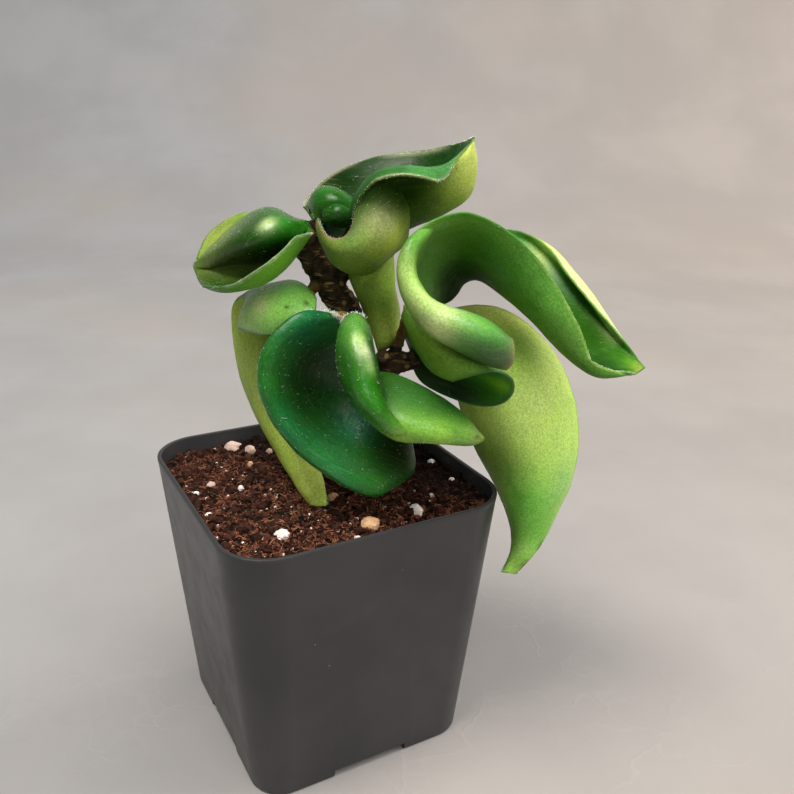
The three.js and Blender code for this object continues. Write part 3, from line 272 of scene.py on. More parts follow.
# The stem's stalks as (across, away, up, radius) in millimetres.
STALKS = {
    "trunk": [(6.5, 3, 44, 2.2), (6.5, 3, 62, 2.8), (6.5, 4, 74, 3), (6.5, 5, 86, 3.1), (5.5, 5, 98, 3.4),
              (2.5, 5, 104, 3), (-1, 6, 110, 3.4), (-3.5, 7, 114.5, 3), (-4.5, 8, 117.5, 2.4)],
    "branch": [(6, 4, 82.5, 1.8), (11, 1, 87.5, 1.9), (15.5, -1, 90, 2.6), (19.5, -1, 90.5, 1.9),
               (22.5, 1, 91.5, 1.7), (25, 2, 94, 1.4), (26, 2, 96, 1.2)],
    "stub": [(14.5, -1, 90.5, 1.5), (14, -3.5, 92, 1.4), (13.5, -5.5, 93, 1.4)],
    "arch_stalk": [(15.5, -2, 91.5, 1.3), (17, -6, 96.5, 1.1), (18, -11, 102, 0.9), (18.5, -14, 106, 0.9)],
    "apron_stalk": [(2.5, 5, 104, 1.4), (5, 5, 108, 1.2), (6.5, 4, 110.5, 1)],
    "cup_stalk": [(5.5, 5, 98, 1.6), (5, -2, 100, 1.4), (5, -8, 102, 1.1)],
    "tail_stalk": [(1.5, 5, 106.5, 1.4), (-1, 4, 105.5, 1.3), (-3, 1, 103.5, 1)],
    "beak_stalk": [(-3.5, 7, 114.5, 1.3), (-2.5, 3, 116, 1.2), (-2, -1, 117.5, 1)],
    "crown_stalk": [(-4.5, 8, 117, 1.4), (-2.5, 8, 117.5, 1.3), (0, 7, 117, 1.1)],
}


# ---- Leaf looks ------------------------------------------------------------------------------
# Each leaf: its record slot, the colours of its glossy side, its underside and its margin line, and
# the blades that it is made of.
LEAVES = {
    "leaf_crown": {"slot": "dark_leaf", "glossy": "#1c5410", "under": "#7f9a38", "margin": "#3f5a20",
                   "blades": ["crown", "bulb", "upper_lobe", "lower_lobe"]},
    "leaf_apron": {"slot": "light_leaf", "glossy": "#3a7a24", "under": "#94b43a", "margin": "#6c8a34",
                   "blades": ["apron"]},
    "leaf_beak": {"slot": "dark_leaf", "glossy": "#175a0c", "under": "#4f9022", "margin": "#2c5a18",
                  "blades": ["beak", "beak_back"]},
    "leaf_tail": {"slot": "light_leaf", "glossy": "#4c9c2c", "under": "#c0dc5c", "margin": "#5a7a2a",
                  "blades": ["tail"]},
    "leaf_cup": {"slot": "dark_leaf", "glossy": "#166020", "under": "#3f7f28", "margin": "#2f6a30",
                 "blades": ["cup"]},
    "leaf_spoon": {"slot": "dark_leaf", "glossy": "#226c0c", "under": "#5f8f30", "margin": "#3a6a24",
                   "blades": ["spoon", "spoon_flat"]},
    "leaf_arch": {"slot": "light_leaf", "glossy": "#347f1c", "under": "#62983a", "margin": "#3f6e26",
                  "blades": ["arch", "tongue", "pitcher"]},
    "leaf_droop": {"slot": "light_leaf", "glossy": "#4d8f2c", "under": "#b8d868", "margin": "#4f7a30",
                   "blades": ["droop"]},
}

# Each blade: the roughness of its glossy side and what is laid on it. Many patches are painted light:
# dark ones paint shade in hollows, folds and under overhangs, and pale ones paint highlights and lit
# places. A place on a blade is a rib, counted from the base, and a share across from the near margin
# to the far one. Sizes, widths and lengths are in mm. A side is 1 for the glossy side, -1 for the
# underside and 0 for both. The last rib of an edge is 99 where it goes on to the tip.
#   patches: rib, share across, size, colour, strength, side
#   edges: edge (near, far, start or tip), first rib, last rib, width, colour, strength, side
#   dull: rib, share across, size, dullness
#   hairs: edge, first rib, last rib, number of hairs, length
BLADE_LOOKS = {
    "crown": {
        "roughness": 0.24,
        "patches": [
            # The first two patches paint shade on the outer wall under the rolled band.
            (2.2, 0.28, 13, "#1c3206", 0.97, -1), (4.0, 0.32, 9, "#29460c", 0.97, -1),
            (6.7, 0.5, 7, "#bcc463", 0.95, -1), (6.1, 0.2, 8, "#bcc860", 0.95, -1),
            (5.6, 0.12, 1.2, "#a58a60", 0.8, -1), (5.3, 0.4, 5, "#a8b04c", 0.9, -1),
            (3.5, 0.06, 6, "#3f8040", 0.8, 1), (5.5, 0.08, 6, "#3f8a44", 0.7, 1),
            # From here on, the dark patches on the glossy side paint the shade inside the trough.
            (2.5, 0.7, 12, "#0e2c06", 0.95, 1), (4.0, 0.7, 10, "#0e2c06", 0.95, 1),
            (1.0, 0.8, 8, "#1c4c10", 0.8, 1), (5.2, 0.75, 5, "#1c4c10", 0.7, 1),
            (3.0, 0.35, 6, "#0e2c06", 0.9, 1), (1.8, 0.9, 11, "#051a02", 0.98, 1),
            (3.3, 0.9, 9, "#103408", 0.95, 1),
        ],
        "edges": [
            ("near", 1.6, 6, 0.34, "#dcd2a4", 0.9, 0), ("near", 1.4, 5, 1.3, "#4a3416", 0.6, -1),
            # The pale line on the glossy side along the far margin, ribs 2.8 to 5.6, paints the highlight
            # along the back wall's top.
            ("far", -1, 2.6, 0.45, "#b5a888", 0.9, 0), ("far", 2.8, 5.6, 0.9, "#b8bc98", 0.8, 1),
            ("near", 5.6, 8, 0.5, "#8a9a48", 0.7, 0), ("far", 6.4, 8, 0.5, "#8a9a48", 0.8, 0),
        ],
        "dull": [(1.8, 0.85, 13, 0.97), (3.0, 0.7, 11, 0.9), (0.8, 0.7, 9, 0.9), (2.2, 0.5, 12, 0.9)],
        "hairs": [("far", -1, 7, 150, 0.3), ("near", 0, 6, 120, 0.3)],
    },
    "bulb": {
        "roughness": 0.3,
        "patches": [
            # Painted light on the bulb: the yellow and pale patches at ribs 5.0 and 4.9 paint its lit side
            # and a highlight, the blue-grey one at rib 3.6 paints sheen, and the dark ones at ribs 6.2 and
            # 6.9 paint shade under the crown's rolled band.
            (4.4, 0.22, 4, "#56763e", 0.85, -1), (3.0, 0.55, 7, "#7e9a3e", 0.7, -1),
            (5.0, 0.7, 5, "#d4e050", 0.9, -1), (4.9, 0.45, 3.4, "#fffcb8", 0.95, -1),
            (3.6, 0.12, 3, "#6c9468", 0.6, -1), (6.2, 0.12, 7, "#233c08", 0.95, -1),
            (6.9, 0.4, 7, "#1c3206", 0.95, -1), (5.0, 0.0, 5, "#35571a", 0.8, -1),
            (2.0, 0.9, 7, "#5f7a2c", 0.6, -1), (1.2, 0.75, 6, "#6f8c2f", 0.6, -1),
            (0.0, 0.15, 2.2, "#6b4a2c", 0.9, 0),
        ],
        "edges": [
            ("near", -1, 4.6, 0.75, "#b89a7c", 0.97, 0), ("near", -1, 4.4, 1.5, "#5c4020", 0.55, 0),
            ("start", -1, 99, 0.9, "#6e5030", 0.85, 0),
        ],
        "dull": [(4.4, 0.2, 6, 0.8), (6.9, 0.4, 9, 0.9)],
        "hairs": [("near", -1, 5, 120, 0.35)],
    },
    "upper_lobe": {
        "roughness": 0.16,
        "patches": [(2, 0.5, 6, "#236c14", 0.7, 1), (3.5, 0.5, 5, "#1e5c14", 0.7, 1)],
    },
    "lower_lobe": {
        "roughness": 0.14,
        # Both patches paint the shade inside the spout.
        "patches": [(1.5, 0.1, 3.5, "#0e2c06", 0.95, 0), (1.5, 0.4, 4, "#184a0c", 0.8, 0)],
    },
    "apron": {
        "roughness": 0.4,
        "patches": [
            # The bright patch at rib 3.5 paints light on the apron's lower part.
            (0.6, 0.5, 7, "#7c9038", 0.85, -1), (3.5, 0.45, 7, "#ecfc78", 0.95, -1),
            (1.9, 0.4, 5, "#64862a", 0.85, -1), (2.5, 0.85, 6, "#7c9a30", 0.6, -1),
            (4.4, 0.4, 5, "#a4bc48", 0.8, -1), (4.2, 0.75, 1.0, "#7a8a34", 0.6, -1),
        ],
        "edges": [("near", -1, 99, 0.9, "#4f7420", 0.6, 0), ("far", -1, 99, 0.6, "#5f7a2c", 0.5, 0)],
    },
    "beak": {
        "roughness": 0.2,
        "patches": [
            # Painted light on the beak: the blue-green patch at rib 4.2 paints sheen, the small pale one at
            # rib 2.6 paints a highlight on the dome, and the near-black ones on the glossy side from share
            # 0.6 paint the shade in the mouth and inside the lip.
            (4.2, 0.2, 6, "#1f6a3c", 0.6, 1), (2.2, 0.35, 5, "#237414", 0.7, 1),
            (3.7, 0.4, 8, "#0e3c06", 0.9, 1), (3.9, 0.68, 5, "#081804", 0.97, 1),
            (1.2, 0.3, 4, "#2c7c1c", 0.6, 1), (2.6, 0.3, 1.8, "#e8f4b0", 0.6, 1),
            (2.5, 0.85, 9, "#5c9c2c", 0.7, -1), (5.5, 0.85, 5, "#3c7424", 0.7, -1),
            (2.5, 0.8, 6, "#0c2004", 0.97, 1), (3.6, 0.78, 6, "#0c2004", 0.97, 1),
            (4.7, 0.8, 5, "#16300a", 0.9, 1), (3.6, 0.6, 5, "#103408", 0.9, 1),
            (5.7, 0.76, 6, "#20400a", 0.9, 1), (2.6, 0.93, 8, "#8cd03c", 0.9, -1),
        ],
        "edges": [
            ("far", -1, 5.5, 0.42, "#c9d2a4", 0.95, 0), ("far", 5.5, 7.5, 0.4, "#8aa060", 0.8, 0),
            ("near", 3.6, 7.5, 0.5, "#c6cc9a", 0.9, 0),
        ],
        "dull": [(3.9, 0.7, 6, 0.8)],
        "hairs": [("far", -1, 6, 90, 0.25)],
    },
    "beak_back": {
        "roughness": 0.4,
        "patches": [(2.0, 0.5, 12, "#8c9848", 0.95, 0)],
        "edges": [("near", -1, 99, 0.4, "#8a9a50", 0.7, 0), ("far", -1, 99, 0.4, "#8a9a50", 0.7, 0)],
        "dull": [(2.0, 0.5, 12, 0.8)],
    },
    "tail": {
        "roughness": 0.3,
        "patches": [
            # The first three patches paint light on the dome, which lies in the beak's shade, and a pale
            # highlight on it.
            (1.2, 0.45, 10, "#b4f074", 0.95, 1), (1.1, 0.63, 2.8, "#ffffb4", 0.95, 1),
            (0.6, 0.85, 5, "#b4e46c", 0.85, 1), (4.7, 0.6, 9, "#b8d060", 0.7, -1),
            (1.7, 0.3, 5, "#4c9a3c", 0.7, 1), (0.9, 0.3, 0.45, "#22401a", 0.95, 0),
            (0.95, 0.12, 0.6, "#3c4a1c", 0.85, 0), (3.2, 0.2, 7, "#47691f", 0.8, -1),
            (5.0, 0.9, 9, "#9cb454", 0.6, -1), (8.0, 0.5, 7, "#d4e46c", 0.85, -1),
            (8.3, 0.35, 1.3, "#4d4216", 0.9, -1), (7.6, 0.75, 1.0, "#4f4520", 0.8, -1),
            (8.6, 0.8, 1.2, "#4d3c14", 0.9, -1), (7.9, 0.3, 0.5, "#4d4a1c", 0.8, -1),
            (7.2, 0.5, 0.5, "#4f4520", 0.7, -1), (8.1, 0.62, 0.5, "#3d3a14", 0.8, -1),
            (7.5, 0.4, 0.4, "#4d4a1c", 0.7, -1),
        ],
        "edges": [
            ("start", -1, 1, 0.55, "#2a3c10", 0.95, 0), ("far", 3, 99, 0.5, "#4f6a26", 0.7, 0),
            ("near", 3, 99, 0.5, "#6f8a3c", 0.5, 0), ("tip", -1, 99, 0.6, "#7a8a4a", 0.6, 0),
        ],
        "hairs": [("near", 5, 9, 90, 0.3)],
    },
    "cup": {
        "roughness": 0.27,
        "patches": [
            # Painted light on the cup: the near-black patches paint the shade in its hollow and at its
            # right end under the spoon, and the blue-green ones paint sheen.
            (3.0, 0.5, 8, "#0a1f08", 0.97, 1), (2.0, 0.55, 6, "#10240c", 0.95, 1),
            (4.2, 0.7, 7, "#0c260c", 0.95, 1), (4.0, 0.45, 6, "#0f3a0e", 0.85, 1),
            (3.0, 0.05, 6, "#22661a", 0.7, 1), (5.5, 0.3, 6, "#2c7c44", 0.7, 1),
            (4.4, 0.2, 5, "#146034", 0.7, 1), (1.0, 0.3, 5, "#1c7048", 0.7, 1),
            (5.2, 0.92, 6, "#142c08", 0.95, 1), (6.2, 0.9, 5, "#24440f", 0.9, 1),
            (6.9, 0.4, 5, "#2f7a24", 0.7, 1), (4.4, 0.7, 4, "#1f7454", 0.8, 1),
            (5.6, 0.62, 5, "#276424", 0.6, 1), (5.8, 0.86, 6, "#0c1a04", 0.97, 1),
        ],
        "edges": [
            ("near", 0.4, 2.6, 0.4, "#a9c07c", 0.9, 0), ("near", 2.6, 6, 0.35, "#5a8a44", 0.7, 0),
            ("tip", -1, 99, 0.5, "#4a7030", 0.6, 0), ("far", 4, 9, 0.5, "#46622c", 0.8, 0),
        ],
        "dull": [(5.8, 0.86, 6, 0.8), (2.0, 0.5, 7, 0.6), (4.1, 0.42, 6, 0.4)],
        "hairs": [
            ("near", -1, 1.3, 260, 0.9), ("start", -1, 1, 200, 1.1), ("far", -1, 1.5, 120, 1.0),
            ("near", 1.3, 7, 90, 0.25),
        ],
    },
    "spoon": {
        "roughness": 0.3,
        "patches": [
            (0.8, 0.45, 5, "#68a044", 0.9, 1), (1.6, 0.2, 5, "#3f8824", 0.8, 1),
            # The three small pale patches at ribs 1.6 to 2.9 paint the highlight streak on the rolled
            # strip.
            (7.6, 0.5, 4, "#5a9a2a", 0.8, 1), (2.9, 0.7, 1.5, "#b8dc84", 0.75, 1),
            (1.6, 0.6, 1.5, "#d0f08c", 0.8, 1), (2.2, 0.65, 1.7, "#f0fcc4", 0.9, 1),
            (5.6, 0.3, 5, "#2c7a14", 0.7, 1),
        ],
        "edges": [("far", 0.6, 7, 0.8, "#165a44", 0.75, 0), ("near", -1, 5, 0.4, "#8ab07c", 0.5, 0)],
        "hairs": [("near", -1, 5, 420, 0.6), ("start", -1, 1, 140, 0.8)],
    },
    "spoon_flat": {
        "roughness": 0.45,
        "patches": [
            (1.5, 0.8, 7, "#2f641c", 0.9, 1), (0.5, 0.5, 6, "#29581a", 0.9, 1),
            (3.0, 0.78, 6, "#3c7630", 0.8, 1), (3.6, 0.4, 6, "#62a038", 0.8, 1),
            (2.4, 0.22, 4, "#98c444", 0.9, 1), (4.2, 0.22, 4, "#9cc848", 0.9, 1),
            (5.6, 0.45, 4, "#7aac48", 0.8, 1), (6.5, 0.5, 3, "#8a9c48", 0.8, 1),
            (6.0, 0.6, 0.5, "#3c5a24", 0.8, 1), (4.6, 0.5, 0.6, "#3f6a2c", 0.6, 1),
        ],
        "edges": [
            ("far", 2.6, 99, 0.38, "#8a7038", 0.85, 0), ("near", 0, 99, 0.9, "#2f6418", 0.85, 0),
            ("far", -1, 2.6, 0.4, "#24481c", 0.8, 0), ("near", 1.2, 3.4, 0.3, "#8a7a34", 0.7, 0),
        ],
    },
    "arch": {
        "roughness": 0.4,
        "patches": [
            # The near-black patches on the underside paint the shade inside the arch, and the dark ones on
            # the glossy side from rib 6.2 to 9.3 paint the shade in the channel of its far half.
            (3.6, 0.1, 6, "#4c8418", 0.8, 0), (1.3, 0.4, 9, "#0c1c06", 0.98, -1),
            (2.2, 0.42, 9, "#0c1c06", 0.98, -1), (3.0, 0.45, 8, "#122a08", 0.95, -1),
            (3.4, 0.3, 5, "#27540f", 0.7, -1), (1.8, 0.12, 4, "#3c6426", 0.8, -1),
            (0.5, 0.6, 8, "#0e2006", 0.95, -1), (4.2, 0.2, 5, "#4c8418", 0.8, -1),
            (4.4, 0.5, 6, "#35701c", 0.7, -1), (5.3, 0.2, 5, "#5ca448", 0.8, -1),
            (6.3, 0.12, 6, "#74b848", 0.85, -1), (6.4, 0.4, 6, "#6a9c34", 0.8, -1),
            (7.6, 0.3, 6, "#648c38", 0.8, -1), (8.6, 0.25, 4, "#4f7a30", 0.7, -1),
            (6.2, 0.5, 9, "#1c4400", 0.97, 1), (7.2, 0.6, 9, "#224c00", 0.97, 1),
            (8.3, 0.5, 6, "#173a08", 0.95, 1), (9.3, 0.3, 4, "#163a10", 0.9, 1),
            (5.1, 0.98, 4, "#d4e47c", 0.9, 0), (9.3, 0.85, 4, "#4c8410", 0.8, 1),
            (10, 0.5, 2, "#8a9030", 0.8, 0), (5.0, 0.85, 5, "#a0b858", 0.9, -1),
            (6.2, 0.88, 5, "#c0cc78", 0.95, -1), (7.5, 0.9, 5, "#b8c46c", 0.9, -1),
            (4.2, 0.85, 5, "#86a848", 0.8, -1),
        ],
        "edges": [
            ("near", -1, 3.0, 2.6, "#a8d060", 0.85, 0), ("near", -1, 2.6, 1.2, "#e0eea0", 0.85, 0),
            ("far", 2.6, 4.8, 1.3, "#245c10", 0.9, 0), ("near", 3.4, 5.0, 1.0, "#4c8a1c", 0.9, 0),
            ("near", 5.6, 99, 0.38, "#b4c070", 0.85, 0), ("far", 4.8, 8.2, 3.6, "#dce69c", 0.9, 0),
            ("far", 8.0, 99, 0.5, "#34581c", 0.85, 0),
        ],
        "dull": [(7.2, 0.6, 12, 0.8), (8.4, 0.5, 8, 0.8), (6.2, 0.5, 10, 0.8), (2.0, 0.4, 12, 0.8)],
        "hairs": [("near", 5, 10, 160, 0.3)],
    },
    "tongue": {
        "roughness": 0.34,
        "patches": [
            # The pale patches at ribs 5.3 and 4.4 paint the highlight along the tongue, and the light green
            # one at rib 6.9 paints light on its shaded middle.
            (0.0, 0.5, 6, "#74a444", 0.9, 0), (5.3, 0.36, 4.5, "#f8ffb4", 0.95, 1),
            (4.4, 0.6, 3, "#c8e48c", 0.7, 1), (2.2, 0.4, 4, "#a8c868", 0.95, 0),
            (3.6, 0.4, 4, "#c0dc7c", 0.9, 0), (6.9, 0.45, 5, "#78b858", 0.85, 0),
            (7.6, 0.4, 4, "#3f8034", 0.7, 0), (6.8, 0.1, 4, "#4c8a3c", 0.7, 0),
            (8.5, 0.4, 4, "#5a7c48", 0.85, 0),
        ],
        "edges": [
            ("near", 3, 99, 0.7, "#2c6a28", 0.8, 0), ("far", 3, 99, 0.8, "#3c7c54", 0.7, 0),
            ("tip", -1, 99, 1.5, "#857c52", 0.85, 0), ("tip", -1, 99, 0.4, "#a8904a", 0.8, 0),
        ],
        "hairs": [("near", 4, 9, 130, 0.4)],
    },
    "pitcher": {
        "roughness": 0.36,
        "patches": [
            (1.4, 0.75, 8, "#9cc440", 0.85, -1), (2.0, 0.85, 7, "#628828", 0.8, -1),
            (2.9, 0.55, 5, "#4c7226", 0.8, -1), (3.1, 0.43, 3.4, "#6cb408", 0.95, 1),
            # The three near-black patches paint the shade inside the tube.
            (3.0, 0.7, 8, "#0e1e08", 0.97, 1), (3.0, 0.15, 7, "#0e1e08", 0.97, 1),
            (1.4, 0.1, 9, "#0e1e08", 0.95, 0),
        ],
        "edges": [
            ("tip", -1, 99, 1.0, "#2c5c34", 0.85, 0), ("tip", -1, 99, 0.3, "#7c9c70", 0.7, 0),
            ("far", -1, 99, 0.5, "#7c9a4c", 0.5, 0),
        ],
        "dull": [(3.0, 0.5, 12, 0.7)],
    },
    "droop": {
        "roughness": 0.36,
        "patches": [
            # The two palest patches, at ribs 1.7 and 3.4 by the near margin, paint light on the top, where
            # the arch shades it, and on the side lit from the right.
            (1.7, 0.1, 9, "#f0fc80", 0.9, -1), (3.4, 0.05, 6, "#d4e880", 0.8, -1),
            (2.6, 0.27, 4.5, "#6c9c34", 0.85, -1), (3.7, 0.33, 7, "#c8dc80", 0.8, -1),
            (1.8, 0.8, 8, "#bcd454", 0.8, -1), (4.5, 0.12, 7, "#bcdc70", 0.8, -1),
            (7.6, 0.4, 6, "#94dc50", 0.8, -1), (5.0, 0.7, 6, "#7ca444", 0.7, -1),
            (4.2, 0.85, 6, "#84a844", 0.7, -1), (6.2, 0.55, 7, "#60b834", 0.9, -1),
            (5.9, 0.15, 6, "#90c070", 0.8, -1), (7.0, 0.3, 6, "#6ca84c", 0.8, -1),
            (7.2, 0.8, 5, "#5c9434", 0.7, -1), (8.5, 0.5, 4, "#b8e868", 0.85, -1),
            (7.7, 0.5, 2.2, "#a4cc6c", 0.8, -1), (8.6, 0.0, 1.8, "#24481a", 0.95, 0),
            (7.9, 0.0, 1.5, "#2f5a1c", 0.9, 0), (2.0, 0.4, 6, "#b4cc5c", 0.7, -1),
        ],
        "edges": [
            ("near", -1, 3, 0.8, "#3c6c1c", 0.85, 0), ("near", 3, 99, 0.7, "#4c8434", 0.9, 0),
            ("far", -1, 99, 0.9, "#4c7a30", 0.85, 0),
        ],
        "hairs": [("near", 0, 9, 140, 0.22), ("far", 4, 9, 90, 0.25)],
    },
}

# ---- Shared helpers --------------------------------------------------------------------------
TURNED = [0, 3, 2, 1]    # the corners of a cell in the other direction


def linear(code):
    """A hex colour as linear red, green and blue."""
    values = [int(code[i:i + 2], 16) / 255 for i in (1, 3, 5)]
    return [v / 12.92 if v <= 0.04045 else ((v + 0.055) / 1.055) ** 2.4 for v in values]


def hex_code(colour):
    """A colour property, kept as sRGB, as a hex code."""
    return "#" + "".join(f"{round(c * 255):02x}" for c in colour)


def to_world(points):
    """Points of the plant's frame, in mm, as points of the part's frame, in metres."""
    turn = np.array(Matrix.Rotation(PLANT_TURN, 3, "Z"))
    return np.asarray(points, float) @ turn.T * MM


def spline(points, places):
    """Points on a smooth curve through the given ones, at places counted in spans of the first axis."""
    points = np.asarray(points, float)
    padded = np.concatenate([[2 * points[0] - points[1]], points, [2 * points[-1] - points[-2]]])
    span = np.clip(np.floor(places).astype(int), 0, len(points) - 2)
    u = (places - span).reshape((-1,) + (1,) * (points.ndim - 1))
    a, b, c, d = (padded[span + k] for k in range(4))
    return 0.5 * (2 * b + (c - a) * u + (2 * a - 5 * b + 4 * c - d) * u**2
                  + (3 * b - a - 3 * c + d) * u**3)


def waves(points, length, seed=0):
    """Smooth noise from -1 to 1 at each point, which changes over about length."""
    shift = Vector((17.3 * seed, -9.1 * seed, 4.7 * seed))
    return np.array([noise.noise(Vector(p) / length + shift) for p in points])


def unit(vectors):
    return vectors / np.maximum(np.linalg.norm(vectors, axis=-1, keepdims=True), 1e-9)


def cell_faces(number):
    """The corners of each cell of a grid of vertex numbers, row by row."""
    corners = [number[:-1, :-1], number[1:, :-1], number[1:, 1:], number[:-1, 1:]]
    return np.stack(corners, axis=2).reshape(-1, 4)


def lofted(rings):
    """Rings of equally many points joined by faces, with the first and last ring closed by a face."""
    points = np.array(rings)
    number = np.arange(points.shape[0] * points.shape[1]).reshape(points.shape[:2])
    around = np.concatenate([number, number[:, :1]], axis=1)
    faces = cell_faces(around)[:, TURNED].tolist() + [number[0, ::-1].tolist(), number[-1].tolist()]
    return points.reshape(-1, 3), faces


def tube(points, radii, sides, aside):
    """A closed tube along a line of points with their radii. The line never runs along aside."""
    ahead = unit(np.gradient(points, axis=0))
    sideways = unit(np.cross(ahead, aside))
    upward = np.cross(ahead, sideways)
    turn = np.linspace(0, 2 * np.pi, sides, endpoint=False)[None, :, None]
    ring = np.cos(turn) * sideways[:, None] + np.sin(turn) * upward[:, None]
    return lofted(points[:, None] + radii[:, None, None] * ring)


def stacked(shells):
    """Shells, each with its points and faces, as one list of points and one of faces."""
    points, faces, start = [], [], 0
    for part, polygons in shells:
        points.append(part)
        faces += [tuple(start + i for i in polygon) for polygon in polygons]
        start += len(part)
    return np.concatenate(points), faces


def new_mesh(name, vertices, faces):
    """A smooth-shaded mesh."""
    mesh = bpy.data.meshes.new(name)
    mesh.from_pydata([tuple(v) for v in vertices], [], faces)
    mesh.polygons.foreach_set("use_smooth", [True] * len(mesh.polygons))
    return mesh


def new_object(name, content):
    """An object with this mesh, light or camera, in the scene."""
    made = bpy.data.objects.new(name, content)
    bpy.context.scene.collection.objects.link(made)
    return made


def riding(name, mesh, slot):
    """A piece of the part with this mesh, attached to its body. The slot is not used."""
    piece = new_object(name, mesh)
    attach(piece, BODY)
    return piece


def new_piece(name, vertices, faces, material, slot):
    """A smooth-shaded piece of the part with one material."""
    mesh = new_mesh(name, vertices, faces)
    mesh.materials.append(material)
    mesh.validate()
    return riding(name, mesh, slot)


def applied(piece):
    """The piece's mesh as its modifiers leave it."""
    graph = bpy.context.evaluated_depsgraph_get()
    return bpy.data.meshes.new_from_object(piece.evaluated_get(graph))


def set_values(piece, name, values):
    """Stores one number for each vertex."""
    attribute = piece.data.attributes.new(name, "FLOAT", "POINT")
    attribute.data.foreach_set("value", np.asarray(values, np.float32))


def set_colours(piece, name, colours):
    attribute = piece.data.attributes.new(name, "FLOAT_COLOR", "POINT")
    rgba = np.concatenate([colours, np.ones((len(colours), 1))], axis=1)
    attribute.data.foreach_set("color", rgba.astype(np.float32).ravel())


# ---- Node trees ------------------------------------------------------------------------------
class Nodes:
    """Adds nodes to a tree, with their inputs set or linked."""

    def __init__(self, tree):
        self.tree = tree

    def node(self, kind, inputs=None, **settings):
        made = self.tree.nodes.new(kind)
        for key, value in settings.items():
            setattr(made, key, value)
        for key, value in (inputs or {}).items():
            self.feed(made.inputs[key], value)
        return made

    def feed(self, socket, value):
        if isinstance(value, bpy.types.NodeSocket):
            self.tree.links.new(value, socket)
        else:
            socket.default_value = value

    def vector(self, operation, one, other):
        """Vector arithmetic: gives a number for a dot product or a distance, and a vector otherwise."""
        second = "Scale" if operation == "SCALE" else 1
        made = self.node("ShaderNodeVectorMath", {0: one, second: other}, operation=operation)
        return made.outputs["Value" if operation in ("DOT_PRODUCT", "DISTANCE") else "Vector"]


class Finish(Nodes):
    """Builds one material. Scales are in waves or cells to a metre, and depths in metres."""

    def __init__(self, name):
        self.material = bpy.data.materials.new(name)
        self.material.use_nodes = True
        super().__init__(self.material.node_tree)
        self.shader = self.tree.nodes["Principled BSDF"]
        self.place = self.node("ShaderNodeTexCoord").outputs["Object"]

    def coated(self, colour, relief, roughness, level, **more):
        """Links or sets the shader's sockets, and gives the material."""
        values = {"Base Color": colour, "Normal": relief, "Roughness": roughness,
                  "Specular IOR Level": level}
        values.update({key.replace("_", " ").title(): value for key, value in more.items()})
        for key, value in values.items():
            self.feed(self.shader.inputs[key], value)
        return self.material

    def math(self, operation, one, other):
        return self.node("ShaderNodeMath", {0: one, 1: other}, operation=operation).outputs[0]

    def ramp(self, value, low, high, bottom=0.0, top=1.0):
        """A smooth step of value between low and high."""
        made = self.node("ShaderNodeMapRange", {"Value": value}, interpolation_type="SMOOTHSTEP")
        for key, number in (("From Min", low), ("From Max", high), ("To Min", bottom), ("To Max", top)):
            self.feed(made.inputs[key], number)
        return made.outputs[0]

    def lengthwise(self):
        """A place on a leaf's skin that changes quickly across the leaf and slowly along it."""
        along = self.math("MULTIPLY", self.stored("start"), 0.16)
        across = self.math("MULTIPLY", self.stored("near"), 2.2)
        return self.node("ShaderNodeCombineXYZ", {0: along, 1: across}).outputs[0]

    def noise(self, scale, detail=3.0, roughness=0.55, stretch=None, where=None, output="Fac"):
        where = where or self.place
        if stretch:
            where = self.node("ShaderNodeMapping", {"Vector": where, "Scale": stretch}).outputs[0]
        made = self.node("ShaderNodeTexNoise", {"Vector": where, "Scale": scale, "Detail": detail,
                                                "Roughness": roughness})
        return made.outputs[output]

    def cells(self, scale, where=None, feature="F1"):
        return self.node("ShaderNodeTexVoronoi", {"Vector": where or self.place, "Scale": scale},
                         feature=feature).outputs

    def back_shade(self):
        """Painted shade on the soil: from none at the front left to most towards the back on the right,
        where the leaves and the pot's wall shade it.
        """
        return self.ramp(self.vector("DOT_PRODUCT", self.place, BACK_SHADE_WAY), -0.002, 0.012, 0.0, 0.85)

    def specks(self, scale, radius, share):
        """Small round spots: scale cells to a metre, a spot in that share of the cells."""
        cells = self.cells(scale)
        spot = self.ramp(cells["Distance"], radius, radius * 0.6)
        hue = self.node("ShaderNodeSeparateColor", {"Color": cells["Color"]})
        chosen = self.math("LESS_THAN", hue.outputs[0], share)
        return self.math("MULTIPLY", spot, chosen)

    def mix(self, share, one, other, blend="MIX"):
        made = self.node("ShaderNodeMix", data_type="RGBA", blend_type=blend)
        colour_inputs = [s for s in made.inputs if s.type == "RGBA"]
        self.feed(made.inputs[0], share)
        for socket, colour in zip(colour_inputs, (one, other)):
            self.feed(socket, (*colour, 1) if isinstance(colour, (list, tuple)) else colour)
        return next(s for s in made.outputs if s.type == "RGBA")

    def laid(self, colour, code, value, low, high, strength=1.0, blend="MIX"):
        """The colour with another laid over it as value goes from low to high."""
        return self.mix(self.ramp(value, low, high, 0.0, strength), colour, linear(code), blend)

    def dotted(self, colour, code, spots, strength):
        return self.mix(self.math("MULTIPLY", spots, strength), colour, linear(code))

    def stored(self, name, output="Fac"):
        return self.node("ShaderNodeAttribute", attribute_name=name).outputs[output]

    def bump(self, height, distance, strength=1.0, under=None):
        made = self.node("ShaderNodeBump", {"Height": height, "Distance": distance, "Strength": strength})
        if under:
            self.feed(made.inputs["Normal"], under)
        return made.outputs["Normal"]


def plain_finish(name, code, roughness):
    finish = Finish(name)
    finish.feed(finish.shader.inputs["Base Color"], (*linear(code), 1))
    finish.feed(finish.shader.inputs["Roughness"], roughness)
    return finish.material


